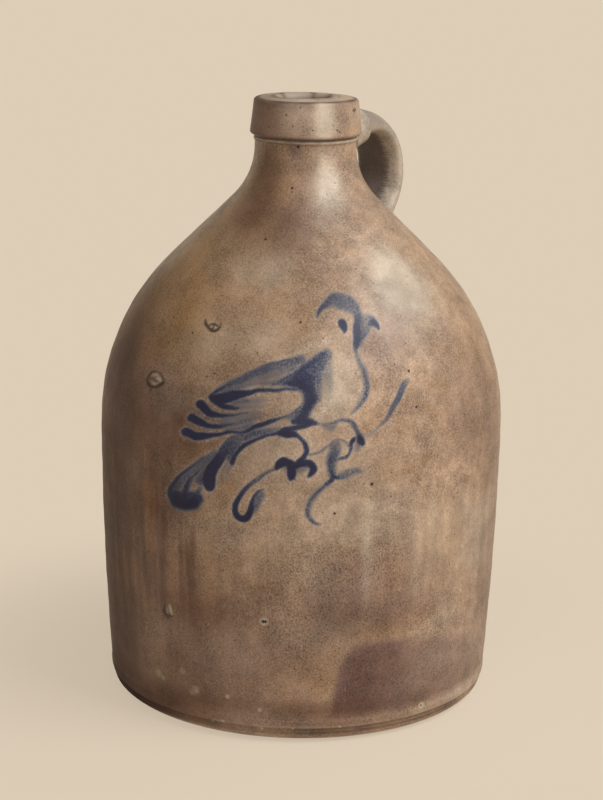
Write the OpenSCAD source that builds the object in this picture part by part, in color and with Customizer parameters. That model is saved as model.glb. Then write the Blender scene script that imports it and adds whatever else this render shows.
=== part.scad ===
// A two-gallon salt-glazed stoneware jug: one thrown body, a thick tooled collar
// round the mouth, a pulled strap handle luted on at both ends, and a brown slip
// lining inside. The origin is the centre of the foot, +Z is up, and the handle
// springs from the neck towards +X.

/* [Body] */
// Height from the table to the crest of the rim
overall_h = 340; // [310:1:380]
// Diameter of the body at its widest
body_d = 229; // [215:1:245]
// How far the wall draws in, on the radius, from the widest ring down to the heel
heel_taper = 5.6; // [2:0.1:12]
// Radius of the convex arc of the shoulder
shoulder_arc = 130; // [110:1:160]
// Lean of the cone between shoulder and neck, measured from the vertical
shoulder_lean = 45.5; // [41:0.5:49]
// Thickness of the thrown wall in the shoulder and belly
wall_t = 7; // [5:0.5:9]
// Thickness of the thrown wall just above the floor
heel_wall_t = 9; // [7:0.5:12]
// Thickness of the floor
floor_t = 11; // [7:0.5:16]
// Radius of the inside corner between floor and wall
floor_corner = 14; // [6:1:24]

/* [Foot] */
// Diameter of the flat that the jug stands on
foot_d = 195; // [185:1:200]
// Height over which the rounded heel swells from that flat to the wall
heel_h = 8.3; // [6:0.1:12]
// Height of the lower edge of the two tooled lines
tool_line_z = 4.7; // [3:0.1:5.5]
// Width of each tooled line
tool_line_w = 2.2; // [1.4:0.1:3]
// Depth of each tooled line
tool_line_depth = 0.8; // [0.4:0.1:1.6]
// Height of the band left standing above the tooled lines
heel_band_h = 4.6; // [3:0.1:8]
// How far that band stands out from the wall
heel_band_out = 0.4; // [0.1:0.1:1]

/* [Neck] */
// Diameter of the neck under its bead
neck_d = 56.8; // [54:0.2:60]
// Thickness of the neck's wall
neck_wall_t = 9; // [7:0.5:11]
// Radius of the hollow sweep from neck to shoulder
neck_arc = 40; // [32:1:48]
// Height of the straight neck above that sweep
neck_straight = 3.2; // [2:0.1:8]
// Radius of the inside sweep from shoulder to throat
throat_arc = 34; // [28:1:40]
// Height of the raised bead under the collar
neck_bead_h = 2; // [1.4:0.1:3]
// How far the bead stands out from the neck
neck_bead_out = 0.7; // [0.4:0.1:1.4]
// Height of the groove between bead and collar
neck_groove_h = 1.2; // [0.8:0.1:2]
// Depth of that groove behind the neck's face
neck_groove_depth = 0.4; // [0.2:0.1:1]

/* [Collar] */
// Height of the collar, from its seat on the neck to the crest of the rim
collar_h = 21.2; // [18:0.2:25]
// Diameter of the collar just above its lower edge
collar_d = 62.8; // [61:0.2:70]
// How much narrower the collar is at the rim, on the radius
collar_draw_in = 1.9; // [0.5:0.1:3]
// Radius of the collar's rounded lower edge
collar_edge_round = 1.6; // [0.8:0.1:2.4]
// Bore of the mouth, which takes the stopper
bore_d = 28; // [24:0.5:30]
// Height of the cone that widens the bore into the throat
bore_flare_h = 4.8; // [3:0.1:7]
// Radius of the rounded edge from rim to bore
mouth_round = 3; // [2:0.1:4]
// Radius of the rounded outer edge of the rim
rim_round = 2; // [1:0.1:3.5]
// How far the top of the rim falls from its crest to that outer edge
rim_fall = 1; // [0.4:0.1:1.6]

/* [Handle] */
// Distance from the collar's face to the outer face of the strap
handle_reach = 42; // [36:0.5:50]
// Distance from the crest of the rim down to the middle of the upper root
handle_drop = 19.6; // [17:0.1:23]
// Distance from the upper root down to where the strap stands out furthest
handle_fall = 29; // [24:0.5:34]
// Width of the strap in the grip
grip_w = 32; // [26:0.5:38]
// Thickness of the strap in the grip
grip_t = 9.6; // [8:0.1:12]
// Width of the strap at its upper root
root_w = 35; // [32:0.5:42]
// Thickness of the strap at its upper root
root_t = 18.8; // [15:0.1:22]
// Width of the strap where it lands on the shoulder
tail_w = 33; // [30:0.5:40]
// Thickness of the strap where it lands on the shoulder
tail_t = 12.4; // [10:0.1:16]
// How far the luting clay stands out round each root
lute_out = 2.8; // [2:0.1:5]
// How far the luting clay runs up the strap from the pot
lute_run = 6; // [4:0.5:9]

/* [Glaze] */
// Thickness of the slip lining
lining_t = 0.6; // [0.4:0.1:1]
// Distance from the collar's seat down to the top edge of the lining
lining_drop = 4; // [2:0.5:10]

/* [Hidden] */
$fn = 180;

// Clearance in a fired joint, where two pieces were luted or coated face to face
joint_gap = 0.05;

// Steps in the arcs of the outlines, and rings and sides of the swept strap
arc_steps = 16;
corner_steps = 7;
wall_steps = 14;
strap_rings = 22;
strap_sides = 28;

// Thickness of the luting clay at its thin edge
lute_edge = 0.7;
// Squareness of the strap's section, where 2 is an ellipse
strap_square = 2.5;
// Shares of each stretch of the strap in which its size still changes
root_fade_share = 0.58;
tail_fade_share = 0.75;
// Shares of a stretch at which the handle's curve is pulled by its two middle points
pull_out_share = 0.50;
pull_up_share = 0.24;
pull_down_share = 0.84;
lower_pull_share = 0.36;
// Where the strap lands, as a share of its furthest reach past the neck
land_share = 0.70;
tail_slope_share = 0.62;

// Radii and levels that follow from the driving sizes
body_r = body_d / 2;
heel_r = body_r - heel_taper;
foot_r = foot_d / 2;
neck_r = neck_d / 2;
throat_r = neck_r - neck_wall_t;
groove_r = neck_r - neck_groove_depth;
bore_r = bore_d / 2;
collar_r = collar_d / 2;
rim_r = collar_r - collar_draw_in;
seat_z = overall_h - collar_h;
band_z = tool_line_z + 2 * tool_line_w;

// Height of a shoulder path: the convex arc, the cone and the hollow sweep together
function cone_len(r_wide, r_arc, r_sweep, r_neck) =
    (r_wide - r_neck - (r_arc + r_sweep) * (1 - cos(shoulder_lean))) / sin(shoulder_lean);
function shoulder_h(r_wide, r_arc, r_sweep, r_neck) =
    (r_arc + r_sweep) * sin(shoulder_lean)
    + cone_len(r_wide, r_arc, r_sweep, r_neck) * cos(shoulder_lean);

neck_sweep_z = seat_z - neck_groove_h - neck_bead_h - neck_straight;
widest_z = neck_sweep_z - shoulder_h(body_r, shoulder_arc, neck_arc, neck_r);

// A path without its first point, and a path from its end to its start
function rest(path) = [for (i = [1:len(path) - 1]) path[i]];
function backwards(path) = [for (i = [len(path) - 1:-1:0]) path[i]];

// Points of an arc round c, from angle a0 to a1, both ends included
function arc(c, r, a0, a1, steps) =
    [for (i = [0:steps]) let (a = a0 + (a1 - a0) * i / steps)
        [c[0] + r * cos(a), c[1] + r * sin(a)]];

// Convex shoulder arc, then the hollow sweep into the neck: the cone lies between them
function shoulder_path(r_wide, r_arc, r_sweep, r_neck) =
    let (z_neck = widest_z + shoulder_h(r_wide, r_arc, r_sweep, r_neck))
    concat(arc([r_wide - r_arc, widest_z], r_arc, 0, shoulder_lean, arc_steps),
           arc([r_neck + r_sweep, z_neck], r_sweep, 180 + shoulder_lean, 180, arc_steps));

// Wall from [r0, z0]: a long arc that stands upright at the widest ring
function belly_arc(r0, z0, r_wide) =
    let (rise = widest_z - z0, out = r_wide - r0)
    (rise * rise + out * out) / (2 * out);
function belly_path(r0, z0, r_wide) =
    let (r_arc = belly_arc(r0, z0, r_wide), turn = asin((widest_z - z0) / r_arc))
    arc([r_wide - r_arc, widest_z], r_arc, -turn, 0, wall_steps);

// Outside radius at a height below the widest ring: an elliptical heel, then the wall
function outside_r(z) =
    let (r_arc = belly_arc(heel_r, heel_h, body_r), share = 1 - z / heel_h)
    z < heel_h ? foot_r + (heel_r - foot_r) * sqrt(1 - share * share)
               : body_r - r_arc + sqrt(r_arc * r_arc - (widest_z - z) * (widest_z - z));

// A half-round bead on the outside from z up to z + h, or a groove where out is negative
function bead(z, h, out) =
    [for (i = [0:corner_steps]) let (a = 180 * i / corner_steps - 90,
                                     z_here = z + h * (1 + sin(a)) / 2)
        [outside_r(z_here) + out * cos(a), z_here]];

// Heel up to the tooled lines, the two lines and the band, and the wall above them
function heel_path() =
    let (turn = acos(1 - tool_line_z / heel_h))
    [for (i = [0:corner_steps]) let (a = turn * i / corner_steps)
        [foot_r + (heel_r - foot_r) * sin(a), heel_h * (1 - cos(a))]];
function wall_path() =
    let (z0 = band_z + heel_band_h)
    [for (i = [0:wall_steps]) let (z = z0 + (widest_z - z0) * i / wall_steps)
        [outside_r(z), z]];
function foot_path() =
    concat(heel_path(),
           rest(bead(tool_line_z, tool_line_w, -tool_line_depth)),
           rest(bead(tool_line_z + tool_line_w, tool_line_w, -tool_line_depth)),
           rest(bead(band_z, heel_band_h, heel_band_out)),
           rest(wall_path()));

// Bead round the neck, and the narrow groove between bead and collar
function neck_path() =
    let (z = seat_z - neck_groove_h - neck_bead_h)
    concat([for (p = arc([0, 0], 1, -90, 90, corner_steps))
                [neck_r + neck_bead_out * p[0], z + neck_bead_h * (1 + p[1]) / 2]],
           [[groove_r, seat_z - neck_groove_h], [groove_r, seat_z]]);

// Whole outside of the thrown body, from the edge of the foot to the collar's seat
function body_outside() =
    concat(foot_path(),
           rest(shoulder_path(body_r, shoulder_arc, neck_arc, neck_r)),
           neck_path());

// Inside of the pot at a given depth under the bare clay, from floor centre to z_top
function cavity_path(depth, z_top) =
    let (r_wide = body_r - wall_t - depth,
         r0 = heel_r - heel_wall_t - depth,
         corner = floor_corner - depth,
         z0 = floor_t + floor_corner)
    concat([[0, z0 - corner]],
           arc([r0 - corner, z0], corner, -90, 0, corner_steps),
           rest(belly_path(r0, z0, r_wide)),
           rest(shoulder_path(r_wide, shoulder_arc - wall_t - depth,
                              throat_arc + depth, throat_r - depth)),
           [[throat_r - depth, z_top]]);

// Outside of the collar, from its seat up to the top of the rim
function collar_outside() =
    let (edge = collar_edge_round)
    concat([[groove_r, seat_z]],
           arc([collar_r - edge, seat_z + edge], edge, -90, 0, corner_steps),
           arc([rim_r - rim_round, overall_h - rim_fall - rim_round], rim_round, 0, 90,
               corner_steps));

// Mouth of the collar, from the crest of the rim down through the bore to the throat
function collar_mouth() =
    concat(arc([bore_r + mouth_round, overall_h - mouth_round], mouth_round, 90, 180,
               corner_steps),
           [[bore_r, seat_z + bore_flare_h], [throat_r, seat_z]]);

// Body, collar and lining are turned from these outlines
module turned(outline) {
    rotate_extrude() polygon(outline);
}

module thrown_body() {
    color("#94775c")
        turned(concat([[0, 0]], body_outside(), backwards(cavity_path(0, seat_z))));
}

module mouth_collar() {
    color("#a98a6c")
        turned(concat(collar_outside(), collar_mouth()));
}

module slip_lining() {
    top = seat_z - lining_drop;
    color("#4a2f20")
        turned(concat(cavity_path(joint_gap, top),
                      backwards(cavity_path(joint_gap + lining_t, top))));
}

// Outside of body and collar with no hollow, grown sideways by the joint's clearance:
// it cuts the seats of whatever is luted to the pot
module pot_form() {
    outline = concat(body_outside(), rest(collar_outside()));
    turned(concat([[0, 0]], [for (p = outline) [p[0] + joint_gap, p[1]]],
                  [[0, overall_h - rim_fall]]));
}

// Middle line of the strap in the XZ plane: two cubic curves that meet where it
// stands out furthest, the first from the neck and the second down to the shoulder
strap_x = collar_r + handle_reach - grip_t / 2;
root_z = overall_h - handle_drop;
root_x = neck_r;
side_z = root_z - handle_fall;
land_x = neck_r + (strap_x - neck_r) * land_share;
shoulder_x = body_r - shoulder_arc * (1 - cos(shoulder_lean));
shoulder_z = widest_z + shoulder_arc * sin(shoulder_lean);
land_z = shoulder_z + (shoulder_x - land_x) / tan(shoulder_lean);
land_in = tail_t / 2 + lute_out;
end_x = land_x - land_in * cos(shoulder_lean);
end_z = land_z - land_in * sin(shoulder_lean);

upper_curve = [[root_x, root_z],
               [root_x + (strap_x - root_x) * pull_out_share,
                root_z + handle_fall * pull_up_share],
               [strap_x, side_z + handle_fall * pull_down_share],
               [strap_x, side_z]];
lower_curve = [[strap_x, side_z],
               [strap_x, side_z - (side_z - end_z) * lower_pull_share],
               [end_x + (strap_x - end_x) * tail_slope_share,
                end_z + (side_z - end_z) * lower_pull_share],
               [end_x, end_z]];

function on_curve(c, t) =
    let (s = 1 - t)
    s * s * s * c[0] + 3 * s * s * t * c[1] + 3 * s * t * t * c[2] + t * t * t * c[3];
function along_curve(c, t) =
    let (s = 1 - t, d = s * s * (c[1] - c[0]) + 2 * s * t * (c[2] - c[1])
                        + t * t * (c[3] - c[2]))
    d / norm(d);
function eased(t) = let (u = min(max(t, 0), 1)) u * u * (3 - 2 * u);

// A station is [x, z, heading x, heading z, half width, half thickness]
function station(p, d, w, t) = [p[0], p[1], d[0], d[1], w / 2, t / 2];
function upper_station(t) =
    let (k = eased(t / root_fade_share))
    station(on_curve(upper_curve, t), along_curve(upper_curve, t),
            root_w + (grip_w - root_w) * k, root_t + (grip_t - root_t) * k);
function lower_station(t) =
    let (k = eased((t - (1 - tail_fade_share)) / tail_fade_share))
    station(on_curve(lower_curve, t), along_curve(lower_curve, t),
            grip_w + (tail_w - grip_w) * k, grip_t + (tail_t - grip_t) * k);

// Point k of the rounded section round a station, grown all round
function section_point(s, k, grow) =
    let (a = 360 * k / strap_sides, power = 2 / strap_square,
         across = (s[4] + grow) * sign(sin(a)) * pow(abs(sin(a)), power),
         up = (s[5] + grow) * sign(cos(a)) * pow(abs(cos(a)), power))
    [s[0] - s[3] * up, across, s[1] + s[2] * up];

// The upper end runs on straight into the pot, so that its whole width meets the neck
root_in = neck_r - sqrt(neck_r * neck_r - pow(root_w / 2 + lute_out, 2));
function run_back(s, by) =
    [s[0] - s[2] * by, s[1] - s[3] * by, s[2], s[3], s[4], s[5]];

// A closed tube through stations, with flat ends
module swept(stations) {
    n = strap_sides;
    last = len(stations) - 1;
    points = [for (i = [0:last]) for (k = [0:n - 1])
                  section_point(stations[i], k, 0)];
    sides = [for (i = [0:last - 1]) for (k = [0:n - 1])
                 let (a = i * n + k, b = i * n + (k + 1) % n)
                 each [[a, a + n, b], [b, a + n, b + n]]];
    ends = [[for (k = [0:n - 1]) k], [for (k = [n - 1:-1:0]) last * n + k]];
    polyhedron(points = points, faces = concat(sides, ends), convexity = 6);
}

strap_stations = concat([run_back(upper_station(0), root_in)],
                        [for (i = [0:strap_rings]) upper_station(i / strap_rings)],
                        [for (i = [1:strap_rings]) lower_station(i / strap_rings)]);

module strap_handle() {
    color("#a09a88")
        difference() {
            swept(strap_stations);
            pot_form();
        }
}

// Clay worked round a root: it stands out lute_out at the pot, thins up the strap,
// and is a sleeve whose inside follows the strap's own rings
function lute_grow(run) = lute_edge + (lute_out - lute_edge) * (1 - eased(run / lute_run));

module sleeve(stations, grows) {
    n = strap_sides;
    rings = len(stations);
    skin = rings * n;
    outside = [for (i = [0:rings - 1]) for (k = [0:n - 1])
                   section_point(stations[i], k, grows[i])];
    inside = [for (i = [0:rings - 1]) for (k = [0:n - 1])
                  section_point(stations[i], k, joint_gap)];
    sides = [for (i = [0:rings - 2]) for (k = [0:n - 1])
                 let (a = i * n + k, b = i * n + (k + 1) % n)
                 each [[a, a + n, b], [b, a + n, b + n],
                       [skin + a, skin + b, skin + a + n],
                       [skin + b, skin + b + n, skin + a + n]]];
    low = [for (k = [0:n - 1]) let (a = k, b = (k + 1) % n)
               each [[a, b, skin + a], [b, skin + b, skin + a]]];
    high = [for (k = [0:n - 1]) let (a = skin - n + k, b = skin - n + (k + 1) % n)
                each [[a, skin + a, b], [b, skin + a, skin + b]]];
    polyhedron(points = concat(outside, inside), faces = concat(sides, low, high),
               convexity = 6);
}

// Runs of the strap's rings that carry clay, from inside the pot to the thin edge
function upper_run(i) = strap_stations[i][0] - collar_r;
function lower_run(i) =
    norm([strap_stations[i][0] - end_x, strap_stations[i][1] - end_z]) - land_in;
strap_last = len(strap_stations) - 1;
side_ring = strap_rings + 1;

module upper_luting() {
    rings = [for (i = [0:side_ring]) if (upper_run(i) < lute_run) i];
    color("#9a917c")
        difference() {
            sleeve([for (i = rings) strap_stations[i]],
                   [for (i = rings) lute_grow(upper_run(i))]);
            pot_form();
        }
}

module lower_luting() {
    rings = [for (i = [side_ring:strap_last]) if (lower_run(i) < lute_run) i];
    color("#9a917c")
        difference() {
            sleeve([for (i = rings) strap_stations[i]],
                   [for (i = rings) lute_grow(lower_run(i))]);
            pot_form();
        }
}

thrown_body();
mouth_collar();
strap_handle();
upper_luting();
lower_luting();
slip_lining();
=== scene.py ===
"""Salt-glazed stoneware jug with a bird on a twig in cobalt: the looks, built round
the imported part, in metres. Angles run from +X towards +Y, as seen from above."""

import math

import bpy
import numpy as np
from bpy.props import FloatProperty, FloatVectorProperty, PointerProperty
from mathutils import Matrix, Vector


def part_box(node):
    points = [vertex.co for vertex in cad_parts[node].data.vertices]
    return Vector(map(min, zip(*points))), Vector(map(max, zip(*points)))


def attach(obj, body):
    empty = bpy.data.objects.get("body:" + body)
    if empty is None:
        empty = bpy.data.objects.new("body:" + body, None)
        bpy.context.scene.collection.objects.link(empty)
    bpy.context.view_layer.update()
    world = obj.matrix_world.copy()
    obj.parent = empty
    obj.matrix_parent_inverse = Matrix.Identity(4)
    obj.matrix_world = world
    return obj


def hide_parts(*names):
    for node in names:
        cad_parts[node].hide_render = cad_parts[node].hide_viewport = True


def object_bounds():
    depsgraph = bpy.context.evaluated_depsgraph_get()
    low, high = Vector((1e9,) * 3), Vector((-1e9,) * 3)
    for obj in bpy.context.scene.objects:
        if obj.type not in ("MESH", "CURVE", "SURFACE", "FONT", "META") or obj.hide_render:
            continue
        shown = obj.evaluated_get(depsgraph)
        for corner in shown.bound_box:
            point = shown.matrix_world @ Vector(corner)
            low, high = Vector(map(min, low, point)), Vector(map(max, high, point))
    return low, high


bl_info = {
    "name": "Salt-Glazed Stoneware Jug",
    "version": (1, 0, 0),
    "blender": (4, 5, 0),
    "location": "View3D > Sidebar > Jug",
    "description": "Dresses a packed jug in salt glaze, cobalt brushwork and slip",
    "category": "Add Mesh",
}

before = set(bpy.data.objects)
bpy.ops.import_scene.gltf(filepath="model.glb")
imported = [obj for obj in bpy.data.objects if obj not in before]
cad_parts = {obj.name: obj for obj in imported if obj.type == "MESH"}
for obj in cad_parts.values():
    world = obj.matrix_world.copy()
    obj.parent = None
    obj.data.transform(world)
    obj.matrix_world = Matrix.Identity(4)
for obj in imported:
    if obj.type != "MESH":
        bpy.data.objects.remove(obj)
CAD_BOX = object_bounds()
MM = 0.001
# Radius at which the brushwork's sideways distances are measured, and the angle of
# the painted face's middle
PAINT_RADIUS = 114.5 * MM
FACE_ANGLE = math.radians(-140)


def linear(hex_colour):
    """Linear colour of an sRGB hex value: each part over 255, through the sRGB curve."""
    parts = [int(hex_colour[i : i + 2], 16) / 255 for i in (1, 3, 5)]
    return [c / 12.92 if c <= 0.04045 else ((c + 0.055) / 1.055) ** 2.4 for c in parts]


# Sizes and colours that a user may change


def number(name, description, default, **more):
    return FloatProperty(name=name, description=description, default=default, **more)


def length(name, description, default):
    return number(name, description, default, precision=4, unit="LENGTH")


def angle(name, description, degrees):
    return number(name, description, math.radians(degrees), subtype="ANGLE")


def colour(name, description, hex_colour):
    return FloatVectorProperty(name=name, description=description, default=linear(hex_colour),
                               subtype="COLOR", min=0, max=1)


class JugSizes(bpy.types.PropertyGroup):
    height: length("Height", "From the table to the crest of the rim", CAD_BOX[1].z)
    body_radius: length("Body radius", "At the widest ring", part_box("thrown_body")[1].x)
    heel_taper: length("Heel taper", "Drawn in from the widest ring to the heel", 0.0056)
    shoulder_arc: length("Shoulder arc", "Radius of the convex shoulder", 0.130)
    shoulder_lean: angle(
        "Shoulder lean", "Lean of the cone between shoulder and neck, from the vertical", 45.5
    )
    wall: length("Wall", "Thickness of the thrown wall", 0.007)
    heel_wall: length("Heel wall", "Thickness of the wall above the floor", 0.009)
    floor: length("Floor", "Thickness of the floor", 0.011)
    floor_corner: length("Floor corner", "Inside corner of floor and wall", 0.014)
    foot_radius: length("Foot radius", "Of the flat that the jug stands on", 0.0975)
    heel_height: length("Heel height", "Of the rounded heel", 0.0083)
    tool_line: length("Tooled line", "Height of the lower tooled line", 0.0047)
    tool_width: length("Tooled line width", "Of each of the two lines", 0.0022)
    tool_depth: length("Tooled line depth", "Of each of the two lines", 0.0008)
    band_height: length("Heel band height", "Of the band over the lines", 0.0046)
    band_out: length("Heel band rise", "How far the band stands out", 0.0004)
    neck_radius: length("Neck radius", "Of the neck under its bead", 0.0284)
    neck_wall: length("Neck wall", "Thickness of the neck's wall", 0.009)
    neck_arc: length("Neck arc", "Radius of the hollow sweep into the neck", 0.040)
    neck_straight: length("Straight neck", "Height above that sweep", 0.0032)
    throat_arc: length("Throat arc", "Radius of the inside sweep", 0.034)
    bead_height: length("Bead height", "Of the raised bead under the collar", 0.002)
    bead_out: length("Bead rise", "How far the bead stands out", 0.0007)
    groove_height: length("Groove height", "Of the groove over the bead", 0.0012)
    groove_depth: length("Groove depth", "Behind the neck's face", 0.0004)
    collar_height: length("Collar height", "From its seat to the crest", 0.0212)
    collar_radius: length("Collar radius", "Just above its lower edge", 0.0314)
    collar_draw_in: length("Collar draw-in", "Lost on the radius to the rim", 0.0019)
    collar_edge: length("Collar edge", "Radius of its rounded lower edge", 0.0016)
    bore_radius: length("Bore radius", "Of the mouth", 0.014)
    bore_flare: length("Bore flare", "Height of the cone into the throat", 0.0048)
    mouth_round: length("Mouth rounding", "From rim to bore", 0.003)
    rim_round: length("Rim rounding", "Of the rim's outer edge", 0.002)
    rim_fall: length("Rim fall", "From the crest to that outer edge", 0.001)
    handle_reach: length("Handle reach", "From the collar to the strap's face", 0.042)
    handle_drop: length("Handle drop", "From the crest to the upper root", 0.0196)
    handle_fall: length("Handle fall", "From that root to the furthest point", 0.029)
    grip_width: length("Grip width", "Of the strap in the grip", 0.032)
    grip_thickness: length("Grip thickness", "Of the strap in the grip", 0.0096)
    root_width: length("Root width", "Of the strap at its upper root", 0.035)
    root_thickness: length("Root thickness", "At its upper root", 0.0188)
    tail_width: length("Tail width", "Of the strap on the shoulder", 0.033)
    tail_thickness: length("Tail thickness", "On the shoulder", 0.0124)
    lute_out: length("Luting", "How far luting clay stands out round a root", 0.0028)
    lute_run: length("Luting run", "How far luting clay runs up the strap", 0.006)


class JugColours(bpy.types.PropertyGroup):
    glaze: colour("Glaze", "Tan of the salt glaze on the body", "#ae937b")
    # Pale glaze also paints the highlights on the shoulder, the neck, the collar and the handle's
    # sides
    glaze_pale: colour("Pale glaze", "Where the salt lies thickest", "#d0bfaa")
    glaze_warm: colour("Warm glaze", "Ochre flashes", "#a27c52")
    # Plum glaze also paints shade: the line under the collar's rim, inside the mouth and on the
    # handle's inner face
    glaze_plum: colour("Plum glaze", "Purple-brown flashes", "#725a53")
    # Smoked glaze also paints shade: down the side away from the key lamp, in the collar's seat and
    # on the handle
    glaze_smoke: colour("Smoked glaze", "Side that the smoke darkened", "#5e3d2b")
    cobalt_thin: colour("Thin cobalt", "Washes of the brush", "#6e7178")
    cobalt: colour("Cobalt", "Full strokes of the brush", "#2f3b56")
    cobalt_thick: colour("Pooled cobalt", "Where the brush rested", "#050f39")
    collar: colour("Collar", "Tan of the collar", "#ad927c")
    handle: colour("Handle", "Grey of the strap handle", "#c9bba7")
    luting: colour("Luting", "Grey of the luting clay", "#c2b4a0")
    slip: colour("Slip lining", "Brown slip inside", "#4a2f20")
    # Painted shade on the handle's face toward the neck, which the key lamp doesn't reach
    handle_inside: colour("Handle inside", "Its face in the smoke's shade", "#776b63")
    # Bare clay also paints highlights on the drip, the bead and the heel band, and greys the
    # painted shade inside the mouth
    bare: colour("Bare clay", "Pinkish clay in pits, blisters and tool marks", "#cbbba9")
    # Flecks also paint shade: in tooled lines, joints and furrows, under marks and at the rim
    fleck: colour("Flecks", "Iron specks in the clay", "#2e221c")


class JugStage(bpy.types.PropertyGroup):
    paper: colour("Backdrop", "Floor and backdrop", "#ddcdb7")
    distance: length("Camera distance", "Level distance from the axis", 1.1722)
    camera_height: length("Camera height", "Above the floor", 0.4642)
    pitch: angle("Camera pitch", "How far the camera looks down", 14.29)
    roll: angle("Camera roll", "Turn of the camera to its left", 0.915)
    lens: number("Lens", "Focal length in millimetres", 94.68)
    key: number("Key lamp", "Power in watts", 16.0)
    fill: number("Fill lamp", "Power in watts", 6.0)
    ambient: number("Ambient", "Strength of the world's light", 0.22)


# Outlines, each an array of [radius, height] from the bottom up


def arc(centre, radius, start, end, steps):
    """Points of a circle's arc: its centre plus its radius times the cosine and the
    sine of evenly spaced angles, which are in degrees."""
    turn = np.radians(np.linspace(start, end, steps + 1))
    return np.column_stack([centre[0] + radius * np.cos(turn), centre[1] + radius * np.sin(turn)])


def shoulder_height(s, wide, convex, hollow, neck):
    """Height of a shoulder: the two arcs' radii times the sine of the lean, and the
    cone's length between them times its cosine."""
    lean = s.shoulder_lean
    cone = (wide - neck - (convex + hollow) * (1 - math.cos(lean))) / math.sin(lean)
    return (convex + hollow) * math.sin(lean) + cone * math.cos(lean)


def levels(s):
    """Heights that the outlines share: the collar's seat, the top of the hollow sweep
    and the widest ring."""
    seat = s.height - s.collar_height
    sweep = seat - s.groove_height - s.bead_height - s.neck_straight
    rise = shoulder_height(s, s.body_radius, s.shoulder_arc, s.neck_arc, s.neck_radius)
    return seat, sweep, sweep - rise


def shoulder(s, wide, convex, hollow, neck):
    """Convex arc from the widest ring, a cone, and a hollow arc into the neck, each
    tangent to the next."""
    widest = levels(s)[2]
    lean = math.degrees(s.shoulder_lean)
    top = widest + shoulder_height(s, wide, convex, hollow, neck)
    return np.vstack([
        arc((wide - convex, widest), convex, 0, lean, 200),
        arc((neck + hollow, top), hollow, 180 + lean, 180, 120),
    ])


def wall_radius(s, z):
    """Outside radius below the widest ring: a quarter ellipse up the heel, then a
    long arc that stands upright at the widest ring."""
    widest = levels(s)[2]
    heel = s.body_radius - s.heel_taper
    rise = widest - s.heel_height
    long_arc = (rise**2 + s.heel_taper**2) / (2 * s.heel_taper)
    share = np.clip(1 - z / s.heel_height, 0, 1)
    ellipse = s.foot_radius + (heel - s.foot_radius) * np.sqrt(1 - share**2)
    wall = s.body_radius - long_arc + np.sqrt(long_arc**2 - (widest - z) ** 2)
    return np.where(z < s.heel_height, ellipse, wall)


def foot(s):
    """The wall's radius from the table to the widest ring, less two half-round lines
    and with a low half-round band over them."""
    heel = s.heel_height * (1 - np.cos(np.linspace(0, math.pi / 2, 60)))
    z = np.concatenate([heel, np.linspace(s.heel_height, levels(s)[2], 900)[1:]])
    out = np.zeros_like(z)
    for bottom, height, rise in (
        (s.tool_line, s.tool_width, -s.tool_depth),
        (s.tool_line + s.tool_width, s.tool_width, -s.tool_depth),
        (s.tool_line + 2 * s.tool_width, s.band_height, s.band_out),
    ):
        across = 2 * (z - bottom) / height - 1
        out += rise * np.sqrt(np.clip(1 - across**2, 0, 1))
    return np.column_stack([wall_radius(s, z) + out, z])


def body_outside(s):
    """Foot, wall, shoulder, neck with its half-round bead, groove and seat."""
    seat = levels(s)[0]
    groove = s.neck_radius - s.groove_depth
    turn = np.radians(np.linspace(-90, 90, 40))
    bead_middle = seat - s.groove_height - s.bead_height / 2
    bead = np.column_stack([s.neck_radius + s.bead_out * np.cos(turn),
                            bead_middle + s.bead_height / 2 * np.sin(turn)])
    lip = [[groove, seat - s.groove_height], [groove, seat]]
    slope = shoulder(s, s.body_radius, s.shoulder_arc, s.neck_arc, s.neck_radius)
    return np.vstack([foot(s), slope[1:], bead, lip])


def cavity(s):
    """Inside of the pot from the floor's middle: floor, corner, long arc, shoulder and
    throat, a wall's thickness inside the outline."""
    seat, _, widest = levels(s)
    wide = s.body_radius - s.wall
    low = s.body_radius - s.heel_taper - s.heel_wall
    start = s.floor + s.floor_corner
    rise, out = widest - start, wide - low
    long_arc = (rise**2 + out**2) / (2 * out)
    turn = math.degrees(math.asin(rise / long_arc))
    throat = s.neck_radius - s.neck_wall
    return np.vstack([
        [[0, s.floor]],
        arc((low - s.floor_corner, start), s.floor_corner, -90, 0, 12),
        arc((wide - long_arc, widest), long_arc, -turn, 0, 40)[1:],
        shoulder(s, wide, s.shoulder_arc - s.wall, s.throat_arc, throat)[1::12],
        [[throat, seat]],
    ])


def spread(path, heights, spacings):
    """Points along a path, spaced by height: the path's length over the spacing at
    its height is summed, and a point is set at every whole count."""
    step = np.hypot(*np.diff(path, axis=0).T)
    middle = (path[1:, 1] + path[:-1, 1]) / 2
    count = np.append(0, np.cumsum(step / np.interp(middle, heights, spacings)))
    at = np.linspace(0, count[-1], int(math.ceil(count[-1])) + 1)
    return np.column_stack([np.interp(at, count, path[:, k]) for k in (0, 1)])


def spread_angles(fine_from, fine_to, fine, coarse):
    """Angles once round: evenly spaced by the fine step from one angle to the other,
    and by the coarse step over the rest."""
    near = np.linspace(fine_from, fine_to, int((fine_to - fine_from) / fine) + 1)
    rest = 2 * math.pi - (fine_to - fine_from)
    far = np.linspace(0, rest, int(rest / coarse) + 1)[1:-1]
    return np.append(near, fine_to + far)


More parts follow.
